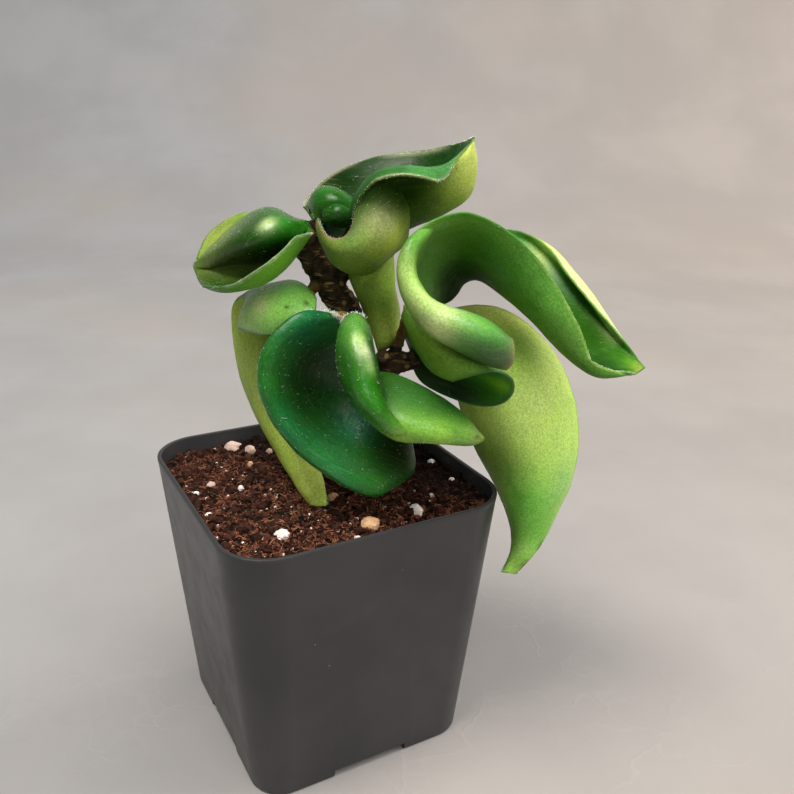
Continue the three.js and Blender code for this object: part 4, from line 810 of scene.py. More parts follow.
# ---- Leaves ----------------------------------------------------------------------------------
EASED_ENDS = 0.75        # how much closer a leaf's grid lines lie at its margins
RIB_STEPS = 24           # steps along each rib before the even grid is laid
BETWEEN_RIBS = 6         # steps from a rib to the next one
CELL = 0.6               # mean spacing of a leaf's grid, in mm
SPARE_LINES = 8          # grid lines beyond that spacing, for the close ends
EVEN_PASSES = 10         # how often a leaf's surface is evened out
EVEN_SHARE = 0.2         # how far each pass moves a point towards its neighbours
FINE_PASSES = 4          # how often its normals and its thickness are evened out
MARGIN_ROUND = 0.4       # width of the rounded margin, in mm
MARGIN_THIN = 0.26       # thickness near the margin, as a share
THIN_REACH = 5           # how far in from the margin the thinning reaches, in mm
THINNEST = 0.12          # least half thickness where the blade bends tightly, in mm
TIGHT = 0.3              # a place is tight where an offset cell is under this share of its own
TIGHT_PASSES = 14
TIGHT_SHARE = 0.82       # what each pass leaves of the thickness at a tight place
WAVE = 0.16              # height of the surface's slow waves, in mm
WAVE_LENGTH = 5.5        # in mm
QUICK_WAVE = 0.35        # height of the quicker waves over them, as a share
QUICK_STEP = 2.7         # how much shorter those are
FRAY = 0.22              # how far the outline wanders, in mm
FRAY_LENGTHS = (4.0, 1.3)     # of its slow and its quick waves, in mm
FRAY_REACH = 1.2         # how far in from the margin it wanders, in mm
RIB_WEIGHT = 3           # ribs that count as much as a blade's width, in the search for a place
EDGE_FADE = 0.7          # ribs over which an edge line fades at its ends
DULL_ROUGHER = 0.2       # how much rougher a wholly dull place is
KNOWN = ("near", "far", "start", "tip", "rim", "rib", "share", "side")


def evened(grid, passes):
    """A grid of points smoothed along both ways, with its margins smoothed along themselves only."""
    for _ in range(passes):
        moved = grid.copy()
        moved[1:-1] += EVEN_SHARE * (grid[:-2] - 2 * grid[1:-1] + grid[2:])
        moved[:, 1:-1] += EVEN_SHARE * (grid[:, :-2] - 2 * grid[:, 1:-1] + grid[:, 2:])
        grid = moved
    return grid


def run_lengths(grid, axis):
    """Distances along the grid's lines from their first points."""
    steps = np.linalg.norm(np.diff(grid, axis=axis), axis=2)
    start = np.zeros_like(np.take(steps, [0], axis=axis))
    return np.concatenate([start, np.cumsum(steps, axis=axis)], axis=axis)


def close_ends(count):
    """Places from 0 to 1 that lie closer together at both ends."""
    even = np.linspace(0, 1, count)
    return even - EASED_ENDS * np.sin(2 * np.pi * even) / (2 * np.pi)


def blade_surface(ribs):
    """The middle surface of a blade as a fine grid, and each grid line's rib and share across."""
    coarse = np.array([spline(rib, np.linspace(0, len(rib) - 1, RIB_STEPS + 1)) for rib in ribs])
    base = spline(coarse, np.linspace(0, len(ribs) - 1, BETWEEN_RIBS * (len(ribs) - 1) + 1))
    base = evened(base, EVEN_PASSES)
    rows = int(run_lengths(base, 0)[-1].max() / CELL) + SPARE_LINES
    columns = int(run_lengths(base, 1)[:, -1].max() / CELL) + SPARE_LINES
    along = spline(base, close_ends(rows) * (len(base) - 1))
    grid = spline(along.swapaxes(0, 1), close_ends(columns) * RIB_STEPS).swapaxes(0, 1)
    return grid, close_ends(rows) * (len(ribs) - 1), close_ends(columns)


def eased(grid, normals, half):
    """Half the thickness, made less where the blade bends more tightly than it is thick."""
    def facing(points):
        return np.cross(points[1:, 1:] - points[:-1, :-1], points[:-1, 1:] - points[1:, :-1])

    middle = facing(grid)
    size = np.maximum((middle * middle).sum(2), 1e-12)
    for _ in range(TIGHT_PASSES):
        tight = np.zeros(half.shape, bool)
        for way in (1, -1):
            turned = (facing(grid + way * half[..., None] * normals) * middle).sum(2) < TIGHT * size
            for rows in (slice(0, -1), slice(1, None)):
                for columns in (slice(0, -1), slice(1, None)):
                    tight[rows, columns] |= turned
        half = np.where(tight, np.maximum(half * TIGHT_SHARE, THINNEST), half)
    return evened(half[..., None], FINE_PASSES)[..., 0]


@functools.cache
def blade_shell(blade):
    """A blade as a closed shell in mm: its vertices, its faces and what is known at each vertex."""
    thickness, ribs = BLADES[blade]
    grid, rib_places, shares = blade_surface(ribs)
    rows, columns = grid.shape[:2]
    normals = unit(np.cross(np.gradient(grid, axis=0), np.gradient(grid, axis=1)))
    normals = unit(evened(normals, FINE_PASSES))
    flat = grid.reshape(-1, 3)
    near, start = run_lengths(grid, 1), run_lengths(grid, 0)
    far, tip = near[:, -1:] - near, start[-1:] - start
    rim = np.minimum(np.minimum(near, far), np.minimum(start, tip))
    outward = unit(np.gradient(grid, axis=1)) * np.where(shares < 0.5, -1, 1)[None, :, None]
    slow, quick = FRAY_LENGTHS
    wander = (waves(flat, slow, 1) + 0.5 * waves(flat, quick, 2)).reshape(rows, columns)
    grid = grid + (FRAY * wander * np.exp(-rim / FRAY_REACH))[..., None] * outward
    ripple = waves(flat, WAVE_LENGTH, 3) + QUICK_WAVE * waves(flat, WAVE_LENGTH / QUICK_STEP, 4)
    grid = grid + (WAVE * ripple.reshape(rows, columns))[..., None] * normals
    lean = MARGIN_THIN + (1 - MARGIN_THIN) * np.sin(np.clip(rim / THIN_REACH, 0, 1) * np.pi / 2)
    round_off = np.sqrt(1 - (1 - np.clip(rim / MARGIN_ROUND, 0, 1)) ** 2)
    half = eased(grid, normals, thickness / 2 * lean) * round_off
    top = grid + half[..., None] * normals
    bottom = grid - half[..., None] * normals

    inside = np.ones((rows, columns), bool)
    inside[[0, -1]] = False
    inside[:, [0, -1]] = False
    number = np.arange(rows * columns).reshape(rows, columns)
    under = number.copy()
    under[inside] = rows * columns + np.arange(inside.sum())
    vertices = np.concatenate([top.reshape(-1, 3), bottom[inside]])
    faces = np.stack([cell_faces(number), cell_faces(under)[:, TURNED]], axis=1).reshape(-1, 4).tolist()
    known = {"near": near, "far": far, "start": start, "tip": tip, "rim": rim,
             "rib": np.broadcast_to(rib_places[:, None], (rows, columns)),
             "share": np.broadcast_to(shares[None], (rows, columns))}
    known = {name: np.concatenate([values.ravel(), values[inside]]) for name, values in known.items()}
    known["side"] = np.concatenate([np.where(inside, 1.0, 0.5).ravel(), np.zeros(inside.sum())])
    return vertices, faces, known


def listed(blade, kind):
    """What the looks list for a blade: its patches, edges, dull places or hairs."""
    return BLADE_LOOKS[blade].get(kind, [])


def blended(colours, code, amount):
    return colours + amount[:, None] * (np.array(linear(code)) - colours)


def on_side(side, way):
    return {1: side, -1: 1 - side, 0: np.ones_like(side)}[way]


def nearness(vertices, blade, rib, share, size):
    """How near the vertices are to a place on a blade: 1 there, fading over the size in mm."""
    points, _, known = blade_shell(blade)
    middle = points[np.argmin(((known["rib"] - rib) / RIB_WEIGHT) ** 2 + (known["share"] - share) ** 2)]
    return np.exp(-((np.linalg.norm(vertices - middle, axis=1) / size) ** 2))


def leaf_colours(look, vertices, known, owner):
    """The plain colours of a leaf's two sides, with its patches, among them painted shade and painted
    highlights, and then its edge lines over them.
    """
    glossy, under = np.array(linear(look["glossy"])), np.array(linear(look["under"]))
    colours = under + known["side"][:, None] * (glossy - under)
    for blade in look["blades"]:
        for rib, share, size, colour, strength, way in listed(blade, "patches"):
            amount = strength * nearness(vertices, blade, rib, share, size)
            colours = blended(colours, colour, amount * on_side(known["side"], way))
    for blade in look["blades"]:
        for edge, first, last, width, colour, strength, way in listed(blade, "edges"):
            within = np.clip(np.minimum(known["rib"] - first, last - known["rib"]) / EDGE_FADE, 0, 1)
            amount = strength * within * np.exp(-(known[edge] / width) ** 2) * (owner == blade)
            colours = blended(colours, colour, amount * on_side(known["side"], way))
    return np.clip(colours, 0, 1)


def leaf_finish(name, look, settings):
    """Waxy leaf: the stored colours, which carry painted shade and highlights, mottled, with a margin line,
    dust and dark specks.
    """
    finish = Finish(name)
    cloud, grain = finish.noise(230, 4, 0.6), finish.noise(2300, 3, 0.75)
    fibre = finish.noise(1, 4, 0.65, where=finish.lengthwise())
    wander = finish.ramp(finish.noise(700, 2), 0.3, 0.7, -0.12, 0.12)
    line = finish.math("ADD", finish.stored("rim"), wander)
    colour = finish.stored("paint", "Color")
    for code, value, low, high, strength, blend in (
            ("#a8c352", cloud, 0.42, 0.75, settings.mottling, "SOFT_LIGHT"),
            ("#16380c", cloud, 0.5, 0.28, settings.mottling, "SOFT_LIGHT"),
            ("#16380c", fibre, 0.5, 0.3, 0.16, "MIX"),
            ("#a9c85e", fibre, 0.52, 0.75, 0.14, "MIX"),
            ("#12300a", grain, 0.62, 0.36, 0.34, "MIX"),
            (look["margin"], line, 0.4, 0.12, settings.margin_strength, "MIX")):
        colour = finish.laid(colour, code, value, low, high, strength, blend)
    colour = finish.dotted(colour, "#2b2c12", finish.specks(330, 0.08, 0.22), 0.65)
    dust = finish.math("MULTIPLY", finish.specks(1300, 0.15, 0.12), settings.dust)
    colour = finish.mix(dust, colour, linear("#cfd6b8"))
    uneven = finish.ramp(finish.noise(600, 3), 0.3, 0.7, -0.05, 0.08)
    rough = finish.math("ADD", finish.math("ADD", finish.stored("rough"), uneven),
                        finish.math("MULTIPLY", dust, 0.3))
    skin = finish.bump(grain, 0.00009, 0.85)
    skin = finish.bump(finish.noise(620, 3), 0.00012, 0.5, skin)
    skin = finish.bump(fibre, 0.00005, 0.5, skin)
    shine = finish.math("MULTIPLY", finish.stored("shine"),
                        finish.ramp(finish.stored("side"), 0.3, 0.7, 0.22, 0.45))
    return finish.coated(colour, skin, rough, shine, subsurface_weight=0.15, subsurface_scale=0.001,
                         subsurface_radius=(0.5, 1.0, 0.2))


def build_leaf(name, look, settings):
    shells = {blade: blade_shell(blade) for blade in look["blades"]}
    vertices, faces = stacked((points, quads) for points, quads, _ in shells.values())
    known = {key: np.concatenate([known[key] for _, _, known in shells.values()]) for key in KNOWN}
    counts = [len(points) for points, _, _ in shells.values()]
    owner = np.repeat(list(shells), counts)
    gloss = np.repeat([BLADE_LOOKS[blade]["roughness"] for blade in shells], counts) * settings.gloss
    dull = [amount * nearness(vertices, blade, *place)
            for blade in shells for *place, amount in listed(blade, "dull")]
    dullness = np.max([np.zeros(len(vertices)), *dull], axis=0)
    known["rough"] = (settings.under_roughness + known["side"] * (gloss - settings.under_roughness)
                      + DULL_ROUGHER * dullness)
    known["shine"] = 1 - dullness
    piece = new_piece(f"{name}_fine", to_world(vertices), faces, leaf_finish(name, look, settings),
                      look["slot"])
    for value in ("side", "rim", "start", "near", "rough", "shine"):
        set_values(piece, value, known[value])
    set_colours(piece, "paint", leaf_colours(look, vertices, known, owner))
    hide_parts(name)


# ---- Hairs -----------------------------------------------------------------------------------
HAIR_RADIUS = 0.04       # in mm
HAIR_TIP = 0.4           # radius of a hair's tip, as a share
HAIR_ASIDE = (0.31, 0.52, 0.8)     # a direction that hardly any hair takes
HAIR_STRAY = 0.7         # how far a hair's foot leans at random, as a share of its length
HAIR_BEND = 0.8          # how far its tip does
HAIR_LENGTHS = (0.4, 1.3)     # as shares of the listed length
HAIR_ROOTS = 0.3         # how far in from the edge hairs stand, in mm
INNER = 1.5              # how far in the blade is that hairs point away from, in mm


def hair_routes(blade, chance):
    """Routes of three points, in mm, for the hairs along a blade's margins."""
    points, _, known = blade_shell(blade)
    inner = points[known["rim"] > INNER]
    for edge, first, last, count, length in listed(blade, "hairs"):
        roots = points[(known[edge] < HAIR_ROOTS) & (known["rib"] >= first) & (known["rib"] <= last)]
        roots = roots[chance.integers(len(roots), size=count)]
        nearest = inner[[np.argmin(((inner - root) ** 2).sum(1)) for root in roots]]
        outward = unit(unit(roots - nearest) + HAIR_STRAY * chance.normal(size=roots.shape))
        reach = length * chance.uniform(*HAIR_LENGTHS, (count, 1))
        bend = unit(outward + HAIR_BEND * chance.normal(size=roots.shape))
        middle = roots + 0.5 * reach * outward
        yield from np.stack([roots, middle, middle + 0.5 * reach * bend], axis=1)


def build_hairs():
    """Short pale hairs along the leaves' margins."""
    chance = np.random.default_rng(8)
    white = plain_finish("leaf_hairs", "#f2f6e6", 0.7)
    for leaf, look in LEAVES.items():
        routes = [route for blade in look["blades"] for route in hair_routes(blade, chance)]
        if routes:
            radii = HAIR_RADIUS * np.linspace(1, HAIR_TIP, len(routes[0]))
            vertices, faces = stacked(tube(route, radii, 3, HAIR_ASIDE) for route in routes)
            new_piece(f"{leaf}_hairs", to_world(vertices), faces, white, look["slot"])


# ---- The stem --------------------------------------------------------------------------------
STEM_SIDES = 20
STEM_STEP = 0.5          # spacing of the stem's rings, in mm
STEM_VOXEL = 0.28        # in mm
KNOB = 0.42              # height of the bark's knobs, in mm
WOODY = ("trunk", "branch")
YOUNG = ("arch_stalk", "cup_stalk", "tail_stalk", "beak_stalk")
YOUNG_REACH = 1.6        # how near a young stalk's middle its skin lies, in mm
WOODY_REACH = 2.6        # how far from the woody middle the young skin begins, in mm
WOODY_FADE = 1.2         # in mm


def stalk_shell(route):
    """A round closed tube along a route, in mm."""
    route = np.array(route, float)
    length = np.linalg.norm(np.diff(route[:, :3], axis=0), axis=1).sum()
    line = spline(route, np.linspace(0, len(route) - 1, int(length / STEM_STEP) + 2))
    lean = np.abs(unit(np.gradient(line[:, :3], axis=0))).mean(0)
    return tube(line[:, :3], line[:, 3], STEM_SIDES, np.eye(3)[np.argmin(lean)])


def bark_finish():
    """Dark corky bark with lighter scars, greener and redder on the young stalks."""
    finish = Finish("stem_bark")
    ring = finish.noise(900, 3, 0.6, (0.35, 0.35, 1.6))
    colour = finish.laid(linear("#0f0b07"), "#4a3a22", finish.noise(420, 5, 0.65), 0.35, 0.72)
    colour = finish.laid(colour, "#96784a", ring, 0.56, 0.68, 0.8)
    colour = finish.dotted(colour, "#a08050", finish.specks(420, 0.3, 0.3), 0.6)
    young = finish.mix(finish.noise(500, 3), linear("#6a4022"), linear("#86742c"))
    colour = finish.mix(finish.stored("young"), colour, young)
    relief = finish.bump(ring, 0.0006, 0.9, finish.bump(finish.noise(1500, 5, 0.7), 0.0002, 0.9))
    return finish.coated(colour, relief, 0.82, 0.35)


def remeshed(vertices, faces, voxel):
    """The outer skin of overlapping closed shells, as an even mesh."""
    piece = new_object("shells", new_mesh("shells", vertices, faces))
    modifier = piece.modifiers.new("skin", "REMESH")
    modifier.mode = "VOXEL"
    modifier.voxel_size = voxel
    skin = applied(piece)
    bpy.data.objects.remove(piece)
    points = np.array([v.co for v in skin.vertices])
    normals = np.array([v.normal for v in skin.vertices])
    return points, normals, [tuple(p.vertices) for p in skin.polygons]


def nearest_distance(points, lines):
    """The distance from each point to the nearest point of any line."""
    return np.min([np.linalg.norm(points[:, None] - line[None], axis=2).min(1) for line in lines], axis=0)


def build_stem():
    points, normals, polygons = remeshed(*stacked(map(stalk_shell, STALKS.values())), STEM_VOXEL)
    routes = {part: np.array(route)[:, :3] for part, route in STALKS.items()}
    woody = nearest_distance(points, [routes[part] for part in WOODY])
    young = nearest_distance(points, [spline(routes[part][1:], np.linspace(0, len(routes[part]) - 2, 12))
                                      for part in YOUNG])
    young = np.clip(YOUNG_REACH - young, 0, 1) * np.clip((woody - WOODY_REACH) / WOODY_FADE, 0, 1)
    knobs = waves(points, 1.7, 5) + 0.6 * waves(points, 0.8, 6) + 0.8 * np.abs(waves(points, 2.6, 7))
    points = points + (KNOB * knobs * (1 - 0.85 * young))[:, None] * normals
    piece = new_piece("stem_fine", to_world(points), polygons, bark_finish(), "stem")
    set_values(piece, "young", young)
    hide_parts("stem")


# ---- The pot ---------------------------------------------------------------------------------
CORNER_STEPS = 20
EDGE_STEPS = 10          # points along each flat side
NOTCH_DEPTH = 7          # how far in from the base edge each notch reaches, in mm
NOTCH_HEIGHT = 2
SLOT_HALF = (4.5, 1.25)  # half of each drain slot's length and width, in mm
SLOT_INSET = 2.5         # from a notch's inner end back to the middle of its slot, in mm
CREASE = 35              # least angle of a hard edge, in degrees


def rounded_square(half, radius, height):
    """A ring of points round a square with round corners, in mm."""
    points = []
    corner = half - radius
    for quarter in range(4):
        centre = np.array([corner if quarter in (0, 3) else -corner, corner if quarter < 2 else -corner])
        for step in range(CORNER_STEPS + 1):
            angle = (quarter + step / CORNER_STEPS) * math.pi / 2
            points.append((*(centre + radius * np.array([math.cos(angle), math.sin(angle)])), height))
        following = np.array([[-corner, half], [-half, -corner], [corner, -half], [half, corner]][quarter])
        last = np.array(points[-1][:2])
        for step in range(1, EDGE_STEPS):
            points.append((*(last + (following - last) * step / EDGE_STEPS), height))
    return points


def pot_section(pot, height):
    """Half the pot's outer width and its corner radius at a height, in mm."""
    up = height * MM / pot.height
    half = (pot.base + (pot.width - pot.base) * up) / MM / 2
    return half, (pot.base_radius + (pot.rim_radius - pot.base_radius) * up) / MM


def pot_ring(pot, height, inset):
    """The ring of the pot's outside at a height, drawn in by inset, in mm."""
    half, radius = pot_section(pot, height)
    return rounded_square(half - inset, radius - inset, height)


def blocks(low, high):
    """Four boxes, one at each side of the pot: the first lies between two corners, in mm."""
    corners = [(x, y, z) for x in (low[0], high[0]) for y in (low[1], high[1]) for z in (low[2], high[2])]
    faces = [(0, 1, 3, 2), (4, 6, 7, 5), (0, 4, 5, 1), (2, 3, 7, 6), (0, 2, 6, 4), (1, 5, 7, 3)]
    turns = [Matrix.Rotation(side * math.pi / 2, 3, "Z") for side in range(4)]
    return [new_object("block", new_mesh("block", [turn @ Vector(c) * MM for c in corners], faces))
            for turn in turns]


def combined(piece, operation, tools):
    """Joins each tool to the piece or takes it out of it, and removes the tools."""
    for tool in tools:
        modifier = piece.modifiers.new("tool", "BOOLEAN")
        modifier.operation = operation
        modifier.solver = "EXACT"
        modifier.object = tool
    mesh = applied(piece)
    piece.modifiers.clear()
    piece.data = mesh
    for tool in tools:
        bpy.data.objects.remove(tool)


def pot_finish(settings):
    """Charcoal moulded plastic: a fine satin grain, faint flow marks, scuffs and a little dust."""
    finish = Finish("pot_plastic")
    colour = finish.laid(linear(hex_code(settings.colour)), "#333233", finish.noise(35, 4), 0.3, 0.75)
    colour = finish.laid(colour, "#6f6a66", finish.noise(90, 6, 0.7), 0.55, 0.85, 0.12)
    colour = finish.dotted(colour, "#b5aca2", finish.specks(260, 0.05, 0.12), 0.6)
    rough = finish.ramp(finish.noise(160, 5, 0.65), 0.3, 0.75, 0.36, 0.44)
    grain = finish.bump(finish.noise(2600, 3, 0.6), 0.00003, 0.5)
    flow = finish.bump(finish.noise(60, 3, 0.5, stretch=(1, 1, 0.15)), 0.0003, 0.25, grain)
    return finish.coated(colour, flow, rough, 0.5)


def build_pot(pot):
    height, wall = pot.height / MM, pot.wall / MM
    # The wall's section as (inset, height), up the outside and down the inside.
    section = [(0.6, 0.0), (0.18, 0.18), (0.0, 0.6), (0.0, height / 2), (0.0, height - 1.4),
               (-0.06, height - 1.1), (-0.06, height - 0.35), (0.04, height - 0.1), (0.25, height),
               (wall - 0.3, height), (wall - 0.08, height - 0.12), (wall, height - 0.5),
               (wall, height / 2), (wall, wall)]
    vertices, faces = lofted([pot_ring(pot, z, inset) for inset, z in section])
    piece = new_piece("pot_fine", vertices * MM, faces, pot_finish(pot), "pot")
    notch, edge = pot.notch_width / MM / 2, pot.base / MM / 2
    inner = NOTCH_DEPTH - edge
    combined(piece, "UNION", blocks((-notch - wall, 0.7 - edge, 0.2),
                                    (notch + wall, inner + wall, NOTCH_HEIGHT + wall)))
    length, width = SLOT_HALF
    combined(piece, "DIFFERENCE",
             blocks((-notch, -edge - 2, -1), (notch, inner, NOTCH_HEIGHT))
             + blocks((-length, inner - SLOT_INSET - width, 0), (length, inner - SLOT_INSET + width, 4)))
    piece.data.polygons.foreach_set("use_smooth", [True] * len(piece.data.polygons))
    piece.data.set_sharp_from_angle(angle=math.radians(CREASE))
    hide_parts("pot")


# ---- Soil ------------------------------------------------------------------------------------
BED_CELLS = 150
SOIL_LEVEL = 60          # in mm
SOIL_GAP = 0.2           # between the soil and the pot's wall, in mm
SOIL_CORNER = 1.2        # how much tighter its corners are than the pot's, in mm
BED_DEPTH = 3            # thickness of the loose top, in mm
SOIL_AREA = 0.0033       # in square metres
# The way towards the painted shade on the soil, behind the plant on the right.
BACK_SHADE_WAY = (0.75, 0.66, 0)
SHEET_STEP = 6           # cells of the bed in one cell of the sheet
SHEET_SHARE = 0.975      # width of the sheet, as a share of the bed's
SHEET_LIFT = 0.2         # how far it lies above the soil, in mm


def soil_height(x, y):
    """The height of the soil's rolling surface, in mm."""
    lumps = (np.sin(0.61 * x + 1.3) * np.cos(0.53 * y - 0.4) + 0.6 * np.sin(1.07 * x - 0.83 * y)
             + 0.4 * np.cos(1.31 * y + 0.7 * x + 2))
    return SOIL_LEVEL + 0.9 * (0.45 * lumps + np.exp(-(x * x + y * y) / 300))


def soil_finish():
    """Coir: dark red-brown, nearly black in patches, with painted shade towards the back on the right."""
    finish = Finish("coir_soil")
    colour = finish.laid(linear("#050302"), "#3c2015", finish.noise(420, 6, 0.7), 0.4, 0.66)
    colour = finish.laid(colour, "#8a5a3e", finish.noise(1400, 3, 0.6), 0.6, 0.8, 0.6)
    # Painted shade: near black towards the back on the right.
    colour = finish.mix(finish.back_shade(), colour, linear("#040202"))
    relief = finish.bump(finish.noise(1300, 6, 0.75), 0.0005, 1.0)
    return finish.coated(colour, relief, 0.95, 0.2)


def crumb_finish(name, dark, light):
    finish = Finish(name)
    colour = finish.laid(linear(dark), light, finish.noise(650, 4, 0.7), 0.3, 0.7)
    # The same painted shade as on the soil.
    colour = finish.mix(finish.back_shade(), colour, linear("#080403"))
    relief = finish.bump(finish.noise(2600, 4, 0.7), 0.00015, 0.8)
    return finish.coated(colour, relief, 0.92, 0.25)


def bed_surface(pot):
    """The soil's top as a square grid of points drawn into the pot's rounded square, in mm."""
    steps = np.linspace(-1, 1, BED_CELLS + 1)
    u, v = np.meshgrid(steps, steps)
    share = np.maximum(np.maximum(abs(u), abs(v)), 1e-9)
    half, radius = pot_section(pot, SOIL_LEVEL)
    half, radius = half - pot.wall / MM - SOIL_GAP, radius - SOIL_CORNER
    edge = np.stack([u, v], axis=2) / share[..., None] * half
    centre = np.clip(edge, radius - half, half - radius)
    rim = centre + radius * unit(edge - centre)
    xy = rim * share[..., None]
    return xy[..., 0], xy[..., 1]


def at_level(x, y):
    return np.stack([x.ravel(), y.ravel(), np.zeros(x.size)], axis=1)


def build_bed(pot):
    """The loose top of the soil: a closed slab with a crumbly upper face."""
    x, y = bed_surface(pot)
    flat = at_level(x, y)
    rough = (0.8 * waves(flat, 4.5, 11) + 0.7 * waves(flat, 2.2, 12) + 0.5 * np.abs(waves(flat, 1.0, 13))
             + 0.2 * waves(flat, 0.45, 14))
    top = np.stack([x, y, soil_height(x, y) + rough.reshape(x.shape)], axis=2)
    number = np.arange(x.size).reshape(x.shape)
    border = np.array([*number[0], *number[1:, -1], *number[-1, -2::-1], *number[-2:0:-1, 0]])
    base = x.size + np.arange(len(border))
    sides = np.stack([np.roll(border, -1), border, base, np.roll(base, -1)], axis=1)
    faces = [*cell_faces(number)[:, TURNED].tolist(), *sides.tolist(), base.tolist()]
    foot = flat[border] + (0, 0, SOIL_LEVEL - BED_DEPTH)
    new_piece("soil_top", np.concatenate([top.reshape(-1, 3), foot]) * MM, faces, soil_finish(), "soil")


class Growth(Nodes):
    """A Geometry Nodes tree with named inputs, which scatters small bodies over a surface."""

    INPUTS = {
        "Density": ("NodeSocketFloat", 1.0e6),
        "Smallest": ("NodeSocketFloat", 0.001),
        "Largest": ("NodeSocketFloat", 0.002),
        "Seed": ("NodeSocketInt", 1),
    }

    def __init__(self, name):
        super().__init__(bpy.data.node_groups.new(name, "GeometryNodeTree"))
        interface = self.tree.interface
        interface.new_socket("Surface", in_out="INPUT", socket_type="NodeSocketGeometry")
        for key, (kind, value) in self.INPUTS.items():
            interface.new_socket(key, in_out="INPUT", socket_type=kind).default_value = value
        interface.new_socket("Result", in_out="OUTPUT", socket_type="NodeSocketGeometry")
        self.given = self.tree.nodes.new("NodeGroupInput").outputs
        self.result = self.tree.nodes.new("NodeGroupOutput")

    def shaken(self, geometry, amount, length, seed):
        """Moves every point by noise, so that no two copies stay alike."""
        place = self.node("GeometryNodeInputPosition").outputs[0]
        shift = self.vector("ADD", place, (seed, -seed, 0.5 * seed))
        cloud = self.node("ShaderNodeTexNoise", {"Vector": shift, "Scale": 1 / length, "Detail": 2.0})
        offset = self.vector("SCALE", self.vector("SUBTRACT", cloud.outputs["Color"], (0.5,) * 3), amount)
        return self.node("GeometryNodeSetPosition", {"Geometry": geometry, "Offset": offset}).outputs[0]

    def scattered(self, shape, tilt=math.pi):
        """Loose copies of a shape over the surface, by the tree's named inputs."""
        points = self.node("GeometryNodeDistributePointsOnFaces",
                           {"Mesh": self.given["Surface"], "Density": self.given["Density"],
                            "Seed": self.given["Seed"]})
        turn = self.node("FunctionNodeRandomValue", {0: (-tilt, -tilt, -math.pi), 1: (tilt, tilt, math.pi)},
                         data_type="FLOAT_VECTOR")
        self.feed(turn.inputs["Seed"], self.given["Seed"])
        size = self.node("FunctionNodeRandomValue", {2: self.given["Smallest"], 3: self.given["Largest"]},
                         data_type="FLOAT")
        copies = self.node("GeometryNodeInstanceOnPoints",
                           {"Points": points.outputs["Points"], "Instance": shape,
                            "Rotation": turn.outputs[0], "Scale": size.outputs[1]})
        return self.loose(copies.outputs[0])

    def loose(self, geometry):
        return self.node("GeometryNodeRealizeInstances", {"Geometry": geometry}).outputs[0]

    def finished(self, geometry, material):
        coated = self.node("GeometryNodeSetMaterial",
                           {"Geometry": self.loose(geometry), "Material": material})
        self.tree.links.new(coated.outputs[0], self.result.inputs[0])
        return self.tree


def crumb_tree(name, material, detail, shake, length):
    """Uneven lumps, scattered and then shaken out of shape."""
    growth = Growth(name)
    ball = growth.node("GeometryNodeMeshIcoSphere", {"Radius": 0.5, "Subdivisions": detail})
    squashed = growth.node("GeometryNodeTransform", {"Geometry": ball.outputs[0], "Scale": (1, 0.8, 0.65)})
    lumps = growth.scattered(squashed.outputs[0])
    return growth.finished(growth.shaken(lumps, shake, length, 3), material)


def fibre_tree(name, material, width, curl, length):
    """Short strands: straight lines, scattered, curled by noise and given a three-sided section."""
    growth = Growth(name)
    line = growth.node("GeometryNodeCurvePrimitiveLine", {"Start": (-0.5, 0, 0), "End": (0.5, 0, 0)})
    fine = growth.node("GeometryNodeResampleCurve", {"Curve": line.outputs[0], "Count": 7})
    curled = growth.shaken(growth.scattered(fine.outputs[0], tilt=0.45), curl, length, 7)
    section = growth.node("GeometryNodeCurvePrimitiveCircle", {"Resolution": 3, "Radius": width / 2})
    strands = growth.node("GeometryNodeCurveToMesh",
                          {"Curve": curled, "Profile Curve": section.outputs[0], "Fill Caps": True})
    return growth.finished(strands.outputs[0], material)


def grown(name, surface, tree, values, slot):
    """The tree's result on a surface, as a plain mesh piece of its own."""
    modifier = surface.modifiers.new("growth", "NODES")
    modifier.node_group = tree
    for item in tree.interface.items_tree:
        if item.item_type == "SOCKET" and item.in_out == "INPUT" and item.name in values:
            modifier[item.identifier] = values[item.name]
    surface.update_tag()
    mesh = applied(surface)
    surface.modifiers.remove(modifier)
    mesh.name = name
    riding(name, mesh, slot)


def scatter_sheet(pot):
    """A temporary sheet just above the soil that crumbs and fibres are scattered over."""
    x, y = (SHEET_SHARE * values[::SHEET_STEP, ::SHEET_STEP] for values in bed_surface(pot))
    z = soil_height(x, y) + SHEET_LIFT + 0.6 * waves(at_level(x, y), 4.5, 11).reshape(x.shape)
    faces = cell_faces(np.arange(x.size).reshape(x.shape))[:, TURNED].tolist()
    points = np.stack([x, y, z], axis=2).reshape(-1, 3) * MM
    return new_object("scatter_sheet", new_mesh("scatter_sheet", points, faces))


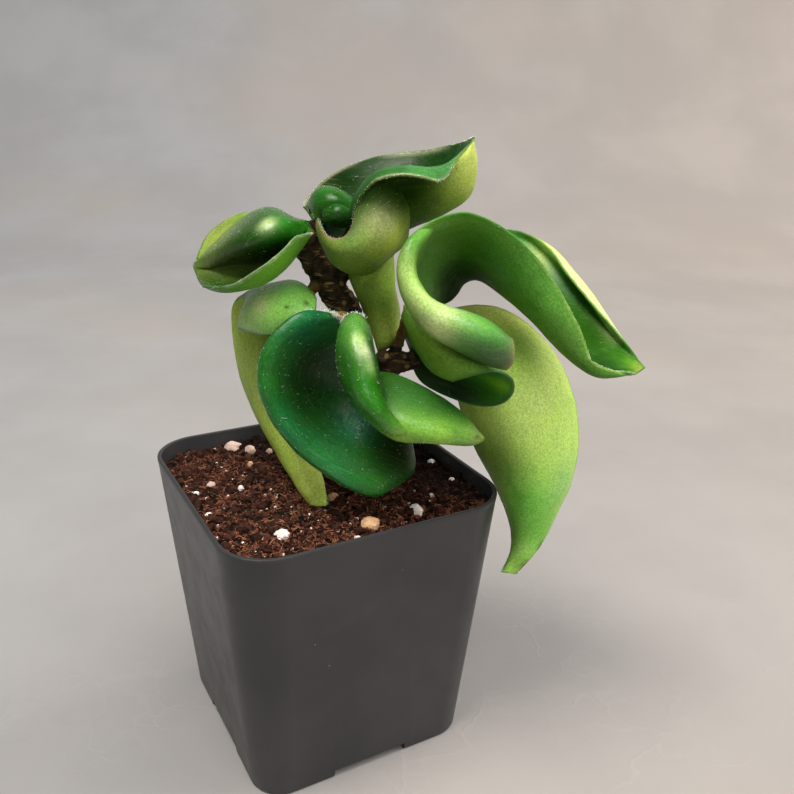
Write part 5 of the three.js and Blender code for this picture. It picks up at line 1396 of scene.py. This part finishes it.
def build_soil_litter(pot, soil):
    """Crumbs, fibres and perlite dust over the soil's top."""
    sheet = scatter_sheet(pot)
    crumb = crumb_finish("coir_crumbs", "#050201", "#43251a")
    tan = crumb_finish("coir_fibre", "#4a2818", "#b07a58")
    red = crumb_finish("coir_husk", "#200e08", "#7e4a36")
    white = crumb_finish("perlite_dust_finish", "#b9a99c", "#efe6dc")
    # Each lot: its name, tree, number, least and greatest size in mm, seed and slot.
    lots = [
        ("soil_lumps", crumb_tree("lump_tree", crumb, 2, 0.0016, 0.0011), soil.lumps, 1.2, 3.4, 21, "soil"),
        ("soil_crumbs", crumb_tree("crumb_tree", red, 1, 0.0007, 0.0006), soil.crumbs, 0.35, 1.2, 22,
         "soil"),
        ("coir_fibres", fibre_tree("fibre_tree", tan, 0.00017, 0.0026, 0.0018), soil.fibres, 1.2, 4.2, 23,
         "soil"),
        ("dark_fibres", fibre_tree("dark_fibre_tree", red, 0.0002, 0.0024, 0.0016), soil.fibres, 1, 3.6,
         24, "soil"),
        ("perlite_dust", crumb_tree("dust_tree", white, 1, 0.0003, 0.0004), soil.dust, 0.3, 1.1, 25,
         "perlite"),
    ]
    for name, tree, count, smallest, largest, seed, slot in lots:
        grown(name, sheet, tree, {"Density": count / SOIL_AREA, "Smallest": smallest * MM,
                                  "Largest": largest * MM, "Seed": seed}, slot)
    bpy.data.objects.remove(sheet)


# ---- Grains ----------------------------------------------------------------------------------
GRAIN_SHARE = 1.08       # size of a grain, as a share of its solid's
TINTED = ("perlite_1", "perlite_2", "perlite_4", "perlite_9")      # stained by the soil
TINT = 0.7               # how strong their stain is
TINT_STEP = 0.12         # between the stains of the others
LUMP_LEVELS = 4
GRAIN_SEED = 30          # the first of three for each grain


def lump(centre, size, seed):
    """An uneven pitted ball within a box of that size, in metres."""
    bpy.ops.mesh.primitive_ico_sphere_add(subdivisions=LUMP_LEVELS, radius=1)
    ball = bpy.context.object
    points = np.array([v.co for v in ball.data.vertices])
    faces = [tuple(p.vertices) for p in ball.data.polygons]
    bpy.data.objects.remove(ball)
    swell = (0.20 * waves(points, 0.9, seed) + 0.12 * waves(points, 0.42, seed + 1)
             - 0.10 * np.clip(waves(points, 0.28, seed + 2), 0, 1))
    points = points * (1 + swell)[:, None]
    low, high = points.min(0), points.max(0)
    points = (points - (low + high) / 2) / (high - low)
    return points * np.array(size) + np.array(centre), faces


def grain_finish(name, dark, middle, light):
    finish = Finish(name)
    colour = finish.laid(linear(middle), light, finish.noise(500, 5, 0.65), 0.3, 0.6)
    colour = finish.mix(finish.stored("tint"), colour, linear("#a87c66"))
    pits = finish.cells(2600)["Distance"]
    colour = finish.laid(colour, dark, pits, 0.25, 0.05, 0.55)
    colour = finish.laid(colour, dark, finish.noise(330, 4, 0.7), 0.56, 0.75, 0.6)
    relief = finish.bump(finish.noise(1800, 5, 0.7), 0.00012, 0.7, finish.bump(pits, 0.00015, 0.7))
    return finish.coated(colour, relief, 0.9, 0.3, subsurface_weight=0.1, subsurface_scale=0.0004)


def build_grains(name, prefix, material, slot):
    """One piece of all the grains whose solids' names start with the prefix."""
    nodes = sorted(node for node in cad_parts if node.startswith(prefix))
    shells, tints = [], []
    for index, node in enumerate(nodes):
        low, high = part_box(node)
        shells.append(lump((low + high) / 2, (high - low) * GRAIN_SHARE, GRAIN_SEED + 3 * index))
        tints.append(np.full(len(shells[-1][0]), TINT if node in TINTED else TINT_STEP * (index % 4)))
    piece = new_piece(name, *stacked(shells), material, slot)
    set_values(piece, "tint", np.concatenate(tints))
    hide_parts(*nodes)


# ---- Lint ------------------------------------------------------------------------------------
LINTED = {"leaf_cup": 1.0, "leaf_spoon": 0.8, "leaf_beak": 0.5, "leaf_crown": 0.35}
LINT_AREA = 0.001        # in square metres


def build_lint(settings):
    """Dust fibres and tiny flecks caught on the glossy leaves."""
    white = plain_finish("lint", "#e9ebdf", 0.8)
    lint = fibre_tree("lint_tree", white, 0.00004, 0.0005, 0.0008)
    flecks = crumb_tree("fleck_tree", white, 1, 0.00005, 0.0002)
    for leaf, amount in LINTED.items():
        density = amount * settings.lint / LINT_AREA
        for kind, tree, share, smallest, largest, seed in (("lint", lint, 1, 0.0002, 0.0009, 5),
                                                           ("flecks", flecks, 2, 0.00005, 0.00014, 6)):
            grown(f"{leaf}_{kind}", bpy.data.objects[f"{leaf}_fine"], tree,
                  {"Density": share * density, "Smallest": smallest, "Largest": largest, "Seed": seed},
                  "perlite")


# ---- Stage -----------------------------------------------------------------------------------
CAMERA_PLACE = (-0.071408, -0.160322, 0.148188)
CAMERA_RIGHT = (0.87459, -0.48424, 0.02437)
CAMERA_UP = (0.15248, 0.32241, 0.93424)
CAMERA_BACK = (-0.46026, -0.81336, 0.35581)
LENS = 38.38             # in mm, as is the sensor
SENSOR = 36
WARM = (1.0, 0.96, 0.88)
COOL = (0.94, 0.97, 1.0)
ROOM = (0.95, 0.97, 1.0, 1)
AIM = Vector((0, 0, 0.09))      # the middle of the plant, which the lights point at

# The floor, in metres: how far it reaches to the front, half its width, where it begins to bend up,
# which is the bend's radius too, and the backdrop's height.
FLOOR_FRONT = 1.6
FLOOR_HALF = 2.2
BEND = 0.5
BACKDROP = 2.4
BEND_START = 0.1         # angle of the bend's first step, in radians
BEND_STEPS = 16

# Each light: its place to the right, up and towards the camera, its size, its colour, and whether
# it shows in reflections.
LIGHTS = {
    "lamp": ((-0.3, 1.25, 0.26), (0.5, 0.34), WARM, True),
    "ceiling": ((0.35, 1.8, 0.5), (2.4, 2.0), COOL, False),
    "fill": ((0.5, 0.8, 1.2), (1.2, 1.0), COOL, False),
    "window": ((1.3, 0.9, -0.35), (1.3, 1.0), WARM, False),
    "glint": ((1.3, 0.5, -0.8), (0.4, 0.4), WARM, True),
}


def floor_finish(settings):
    """A pale matte hide: soft clouds, faint creases that fade into the distance, and painted light that is
    cooler and darker to the left, warmer and lighter to the right.
    """
    finish = Finish("pale_floor")
    pale = linear(hex_code(settings.floor))
    # Painted light: cooler and darker to the left, warmer and lighter to the right.
    side = finish.ramp(finish.vector("DOT_PRODUCT", finish.place, CAMERA_RIGHT), -0.35, 0.45)
    tint = finish.mix(side, [c * k for c, k in zip(pale, (0.93, 0.985, 1.05))],
                      [c * k for c, k in zip(pale, (1.05, 0.99, 0.95))])
    colour = finish.laid(tint, "#6f6a68", finish.noise(9, 5, 0.6), 0.68, 0.35, 0.25)
    stain = finish.ramp(finish.noise(4, 3), 0.45, 0.7, 0.0, 0.5)
    colour = finish.mix(stain, colour, [c * k for c, k in zip(pale, (1.02, 0.94, 0.88))])
    bent = finish.vector("SCALE", finish.noise(45, 3, 0.5, output="Color"), 0.03)
    cells = finish.cells(60, finish.vector("ADD", finish.place, bent), "DISTANCE_TO_EDGE")
    broken = finish.ramp(finish.noise(22, 3), 0.45, 0.62)
    close = finish.ramp(finish.vector("DISTANCE", finish.place, CAMERA_PLACE), 0.34, 0.19)
    crease = finish.math("MULTIPLY", finish.ramp(cells["Distance"], 0.05, 0.0), broken)
    crease = finish.math("MULTIPLY", crease, close)
    colour = finish.mix(finish.math("MULTIPLY", crease, 0.12), colour, [1.3 * c for c in pale])
    relief = finish.bump(crease, 0.0004, 0.18, finish.bump(finish.noise(1100, 4, 0.7), 0.00012, 0.35))
    return finish.coated(colour, relief, 0.75, 0.2)


def build_floor(settings):
    """A pale floor that curves up into a backdrop behind the object."""
    back = -unit(np.array([CAMERA_BACK[0], CAMERA_BACK[1], 0.0]))
    side = np.array([back[1], -back[0], 0.0])
    profile = [(-FLOOR_FRONT, 0.0), (BEND, 0.0)]
    profile += [(BEND + BEND * math.sin(a), BEND - BEND * math.cos(a))
                for a in np.linspace(BEND_START, math.pi / 2, BEND_STEPS)]
    profile.append((2 * BEND, BACKDROP))
    vertices = [back * d + side * s + np.array([0, 0, h])
                for d, h in profile for s in (-FLOOR_HALF, FLOOR_HALF)]
    faces = [(2 * i, 2 * i + 1, 2 * i + 3, 2 * i + 2) for i in range(len(profile) - 1)]
    floor = new_object("floor", new_mesh("floor", vertices, faces))
    floor.data.materials.append(floor_finish(settings))


def build_lights(settings):
    """A lamp, a wide ceiling, a fill in front, a window and a glint on the right, and a dim room."""
    toward = Vector((CAMERA_BACK[0], CAMERA_BACK[1], 0)).normalized()
    axes = Matrix((CAMERA_RIGHT, (0, 0, 1), toward)).transposed()
    for name, (place, size, colour, mirrored) in LIGHTS.items():
        light = bpy.data.lights.new(name, "AREA")
        light.shape = "RECTANGLE"
        light.size, light.size_y = size
        light.energy = getattr(settings, name)
        light.color = colour
        lamp = new_object(name, light)
        lamp.location = axes @ Vector(place)
        lamp.rotation_euler = (AIM - lamp.location).to_track_quat("-Z", "Y").to_euler()
        lamp.visible_glossy = mirrored
    world = bpy.data.worlds.new("room")
    world.use_nodes = True
    background = world.node_tree.nodes["Background"].inputs
    background["Color"].default_value = ROOM
    background["Strength"].default_value = settings.room
    bpy.context.scene.world = world


def build_camera():
    camera = bpy.data.cameras.new("camera")
    camera.lens, camera.sensor_width = LENS, SENSOR
    camera.clip_start, camera.clip_end = 0.005, 20
    eye = new_object("camera", camera)
    turn = Matrix((CAMERA_RIGHT, CAMERA_UP, CAMERA_BACK)).transposed()
    eye.matrix_world = Matrix.Translation(CAMERA_PLACE) @ turn.to_4x4()
    bpy.context.scene.camera = eye


# ---- Settings --------------------------------------------------------------------------------
def length_property(name, description, default, least=0.001):
    return bpy.props.FloatProperty(name=name, description=description, default=default, min=least,
                                   unit="LENGTH")


def factor_property(name, description, default, most=1):
    return bpy.props.FloatProperty(name=name, description=description, default=default, min=0, max=most,
                                   subtype="FACTOR")


def power_property(name, description, default):
    return bpy.props.FloatProperty(name=name, description=description, default=default, min=0,
                                   subtype="POWER")


def count_property(name, description, default):
    return bpy.props.IntProperty(name=name, description=description, default=default, min=0)


def colour_property(name, description, default):
    return bpy.props.FloatVectorProperty(name=name, description=description, default=default,
                                         subtype="COLOR_GAMMA", min=0, max=1)


class HoyaPotSettings(bpy.types.PropertyGroup):
    width: length_property("Rim width", "Across the pot's rim, side to side", POT_HIGH.x - POT_LOW.x, 0.02)
    base: length_property("Base width", "Across the pot's underside", 0.052, 0.02)
    height: length_property("Height", "From the underside to the rim", POT_HIGH.z - POT_LOW.z, 0.02)
    wall: length_property("Wall", "Thickness of the moulded wall", 0.001, 0.0004)
    rim_radius: length_property("Rim corner radius", "Corner radius at the rim", 0.011)
    base_radius: length_property("Base corner radius", "Corner radius at the base", 0.0075)
    notch_width: length_property("Notch width", "Width of each foot notch", 0.018)
    colour: colour_property("Plastic", "Colour of the pot's plastic", (0.16, 0.162, 0.17))


class HoyaLeafSettings(bpy.types.PropertyGroup):
    gloss: factor_property("Gloss roughness", "Scales the waxy sides' roughness", 1, 2)
    under_roughness: factor_property("Underside roughness", "Of the matte underside", 0.5)
    mottling: factor_property("Mottling", "How much the green varies", 0.3)
    margin_strength: factor_property("Margin line", "How clear the margin line is", 0.75)
    dust: factor_property("Dust", "How clear the painted dust specks are", 0.5)
    lint: count_property("Lint", "Loose fibres on ten square centimetres", 120)


class HoyaSoilSettings(bpy.types.PropertyGroup):
    lumps: count_property("Lumps", "Number of large soil lumps", 330)
    crumbs: count_property("Crumbs", "Number of small crumbs", 4200)
    fibres: count_property("Fibres", "Number of coir fibres of each colour", 1500)
    dust: count_property("Perlite dust", "Number of tiny perlite bits", 190)


class HoyaStageSettings(bpy.types.PropertyGroup):
    floor: colour_property("Floor", "Colour of the floor and backdrop", (0.56, 0.545, 0.535))
    lamp: power_property("Lamp", "Power of the lamp overhead", 15)
    ceiling: power_property("Ceiling", "Power of the wide even light", 38)
    fill: power_property("Fill", "Power of the fill in front", 8.5)
    window: power_property("Window", "Power of the window on the right", 24)
    glint: power_property("Glint", "Power of the small lamp behind on the right", 2)
    room: factor_property("Room", "Strength of the even light", 0.12, 10)


# ---- Operators -------------------------------------------------------------------------------
class HOYA_OT_pot(bpy.types.Operator):
    """Builds the moulded nursery pot"""
    bl_idname = "hoya.pot"
    bl_label = "Build pot"

    def execute(self, context):
        build_pot(context.scene.hoya_pot)
        return {"FINISHED"}


class HOYA_OT_soil(bpy.types.Operator):
    """Builds the coir soil with its crumbs, fibres and perlite dust"""
    bl_idname = "hoya.soil"
    bl_label = "Build soil"

    def execute(self, context):
        scene = context.scene
        build_bed(scene.hoya_pot)
        build_soil_litter(scene.hoya_pot, scene.hoya_soil)
        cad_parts["soil"].data.materials[0] = bpy.data.materials["coir_soil"]
        return {"FINISHED"}


class HOYA_OT_grains(bpy.types.Operator):
    """Builds the perlite grains and the bark lumps"""
    bl_idname = "hoya.grains"
    bl_label = "Build grains"

    def execute(self, context):
        white = grain_finish("perlite_finish", "#8a6f5c", "#d3c4b8", "#f2ebe4")
        build_grains("perlite_grains", "perlite_", white, "perlite")
        tan = grain_finish("bark_finish", "#5a3826", "#a87a56", "#d0a680")
        build_grains("bark_lumps", "bark_", tan, "bark")
        return {"FINISHED"}


class HOYA_OT_stem(bpy.types.Operator):
    """Builds the knobby stem with its stalks"""
    bl_idname = "hoya.stem"
    bl_label = "Build stem"

    def execute(self, context):
        build_stem()
        return {"FINISHED"}


class HOYA_OT_leaves(bpy.types.Operator):
    """Builds the curled leaves"""
    bl_idname = "hoya.leaves"
    bl_label = "Build leaves"

    def execute(self, context):
        for name, look in LEAVES.items():
            build_leaf(name, look, context.scene.hoya_leaf)
        return {"FINISHED"}


class HOYA_OT_lint(bpy.types.Operator):
    """Scatters lint over the glossy leaves and grows the hairs of the margins"""
    bl_idname = "hoya.lint"
    bl_label = "Scatter lint and hairs"

    def execute(self, context):
        build_lint(context.scene.hoya_leaf)
        build_hairs()
        return {"FINISHED"}


class HOYA_OT_stage(bpy.types.Operator):
    """Builds the floor, the lights and the camera"""
    bl_idname = "hoya.stage"
    bl_label = "Build stage"

    def execute(self, context):
        build_floor(context.scene.hoya_stage)
        build_lights(context.scene.hoya_stage)
        build_camera()
        context.scene.view_settings.view_transform = "Standard"
        return {"FINISHED"}


class HOYA_PT_panel(bpy.types.Panel):
    """The sizes, colours and steps of the potted hoya"""
    bl_label = "Potted Rope Hoya"
    bl_idname = "HOYA_PT_panel"
    bl_space_type = "VIEW_3D"
    bl_region_type = "UI"
    bl_category = "Hoya"

    def draw(self, context):
        for group, operators in STEPS.items():
            box = self.layout.box()
            settings = getattr(context.scene, group)
            for name in settings.__annotations__:
                box.prop(settings, name)
            for operator in operators:
                box.operator(operator)


# The operators in the order of the build, under the settings that they use.
STEPS = {
    "hoya_stage": ["hoya.stage"],
    "hoya_pot": ["hoya.pot"],
    "hoya_soil": ["hoya.soil", "hoya.grains"],
    "hoya_leaf": ["hoya.stem", "hoya.leaves", "hoya.lint"],
}
GROUPS = {
    "hoya_stage": HoyaStageSettings,
    "hoya_pot": HoyaPotSettings,
    "hoya_soil": HoyaSoilSettings,
    "hoya_leaf": HoyaLeafSettings,
}
CLASSES = (*GROUPS.values(), HOYA_OT_stage, HOYA_OT_pot, HOYA_OT_soil, HOYA_OT_grains, HOYA_OT_stem,
           HOYA_OT_leaves, HOYA_OT_lint, HOYA_PT_panel)


def register():
    for item in CLASSES:
        bpy.utils.register_class(item)
    for name, group in GROUPS.items():
        setattr(bpy.types.Scene, name, bpy.props.PointerProperty(type=group))


def unregister():
    for name in GROUPS:
        delattr(bpy.types.Scene, name)
    for item in reversed(CLASSES):
        bpy.utils.unregister_class(item)


def main():
    register()
    for operators in STEPS.values():
        for operator in operators:
            group, name = operator.split(".")
            getattr(getattr(bpy.ops, group), name)()


if __name__ == "__main__":
    main()
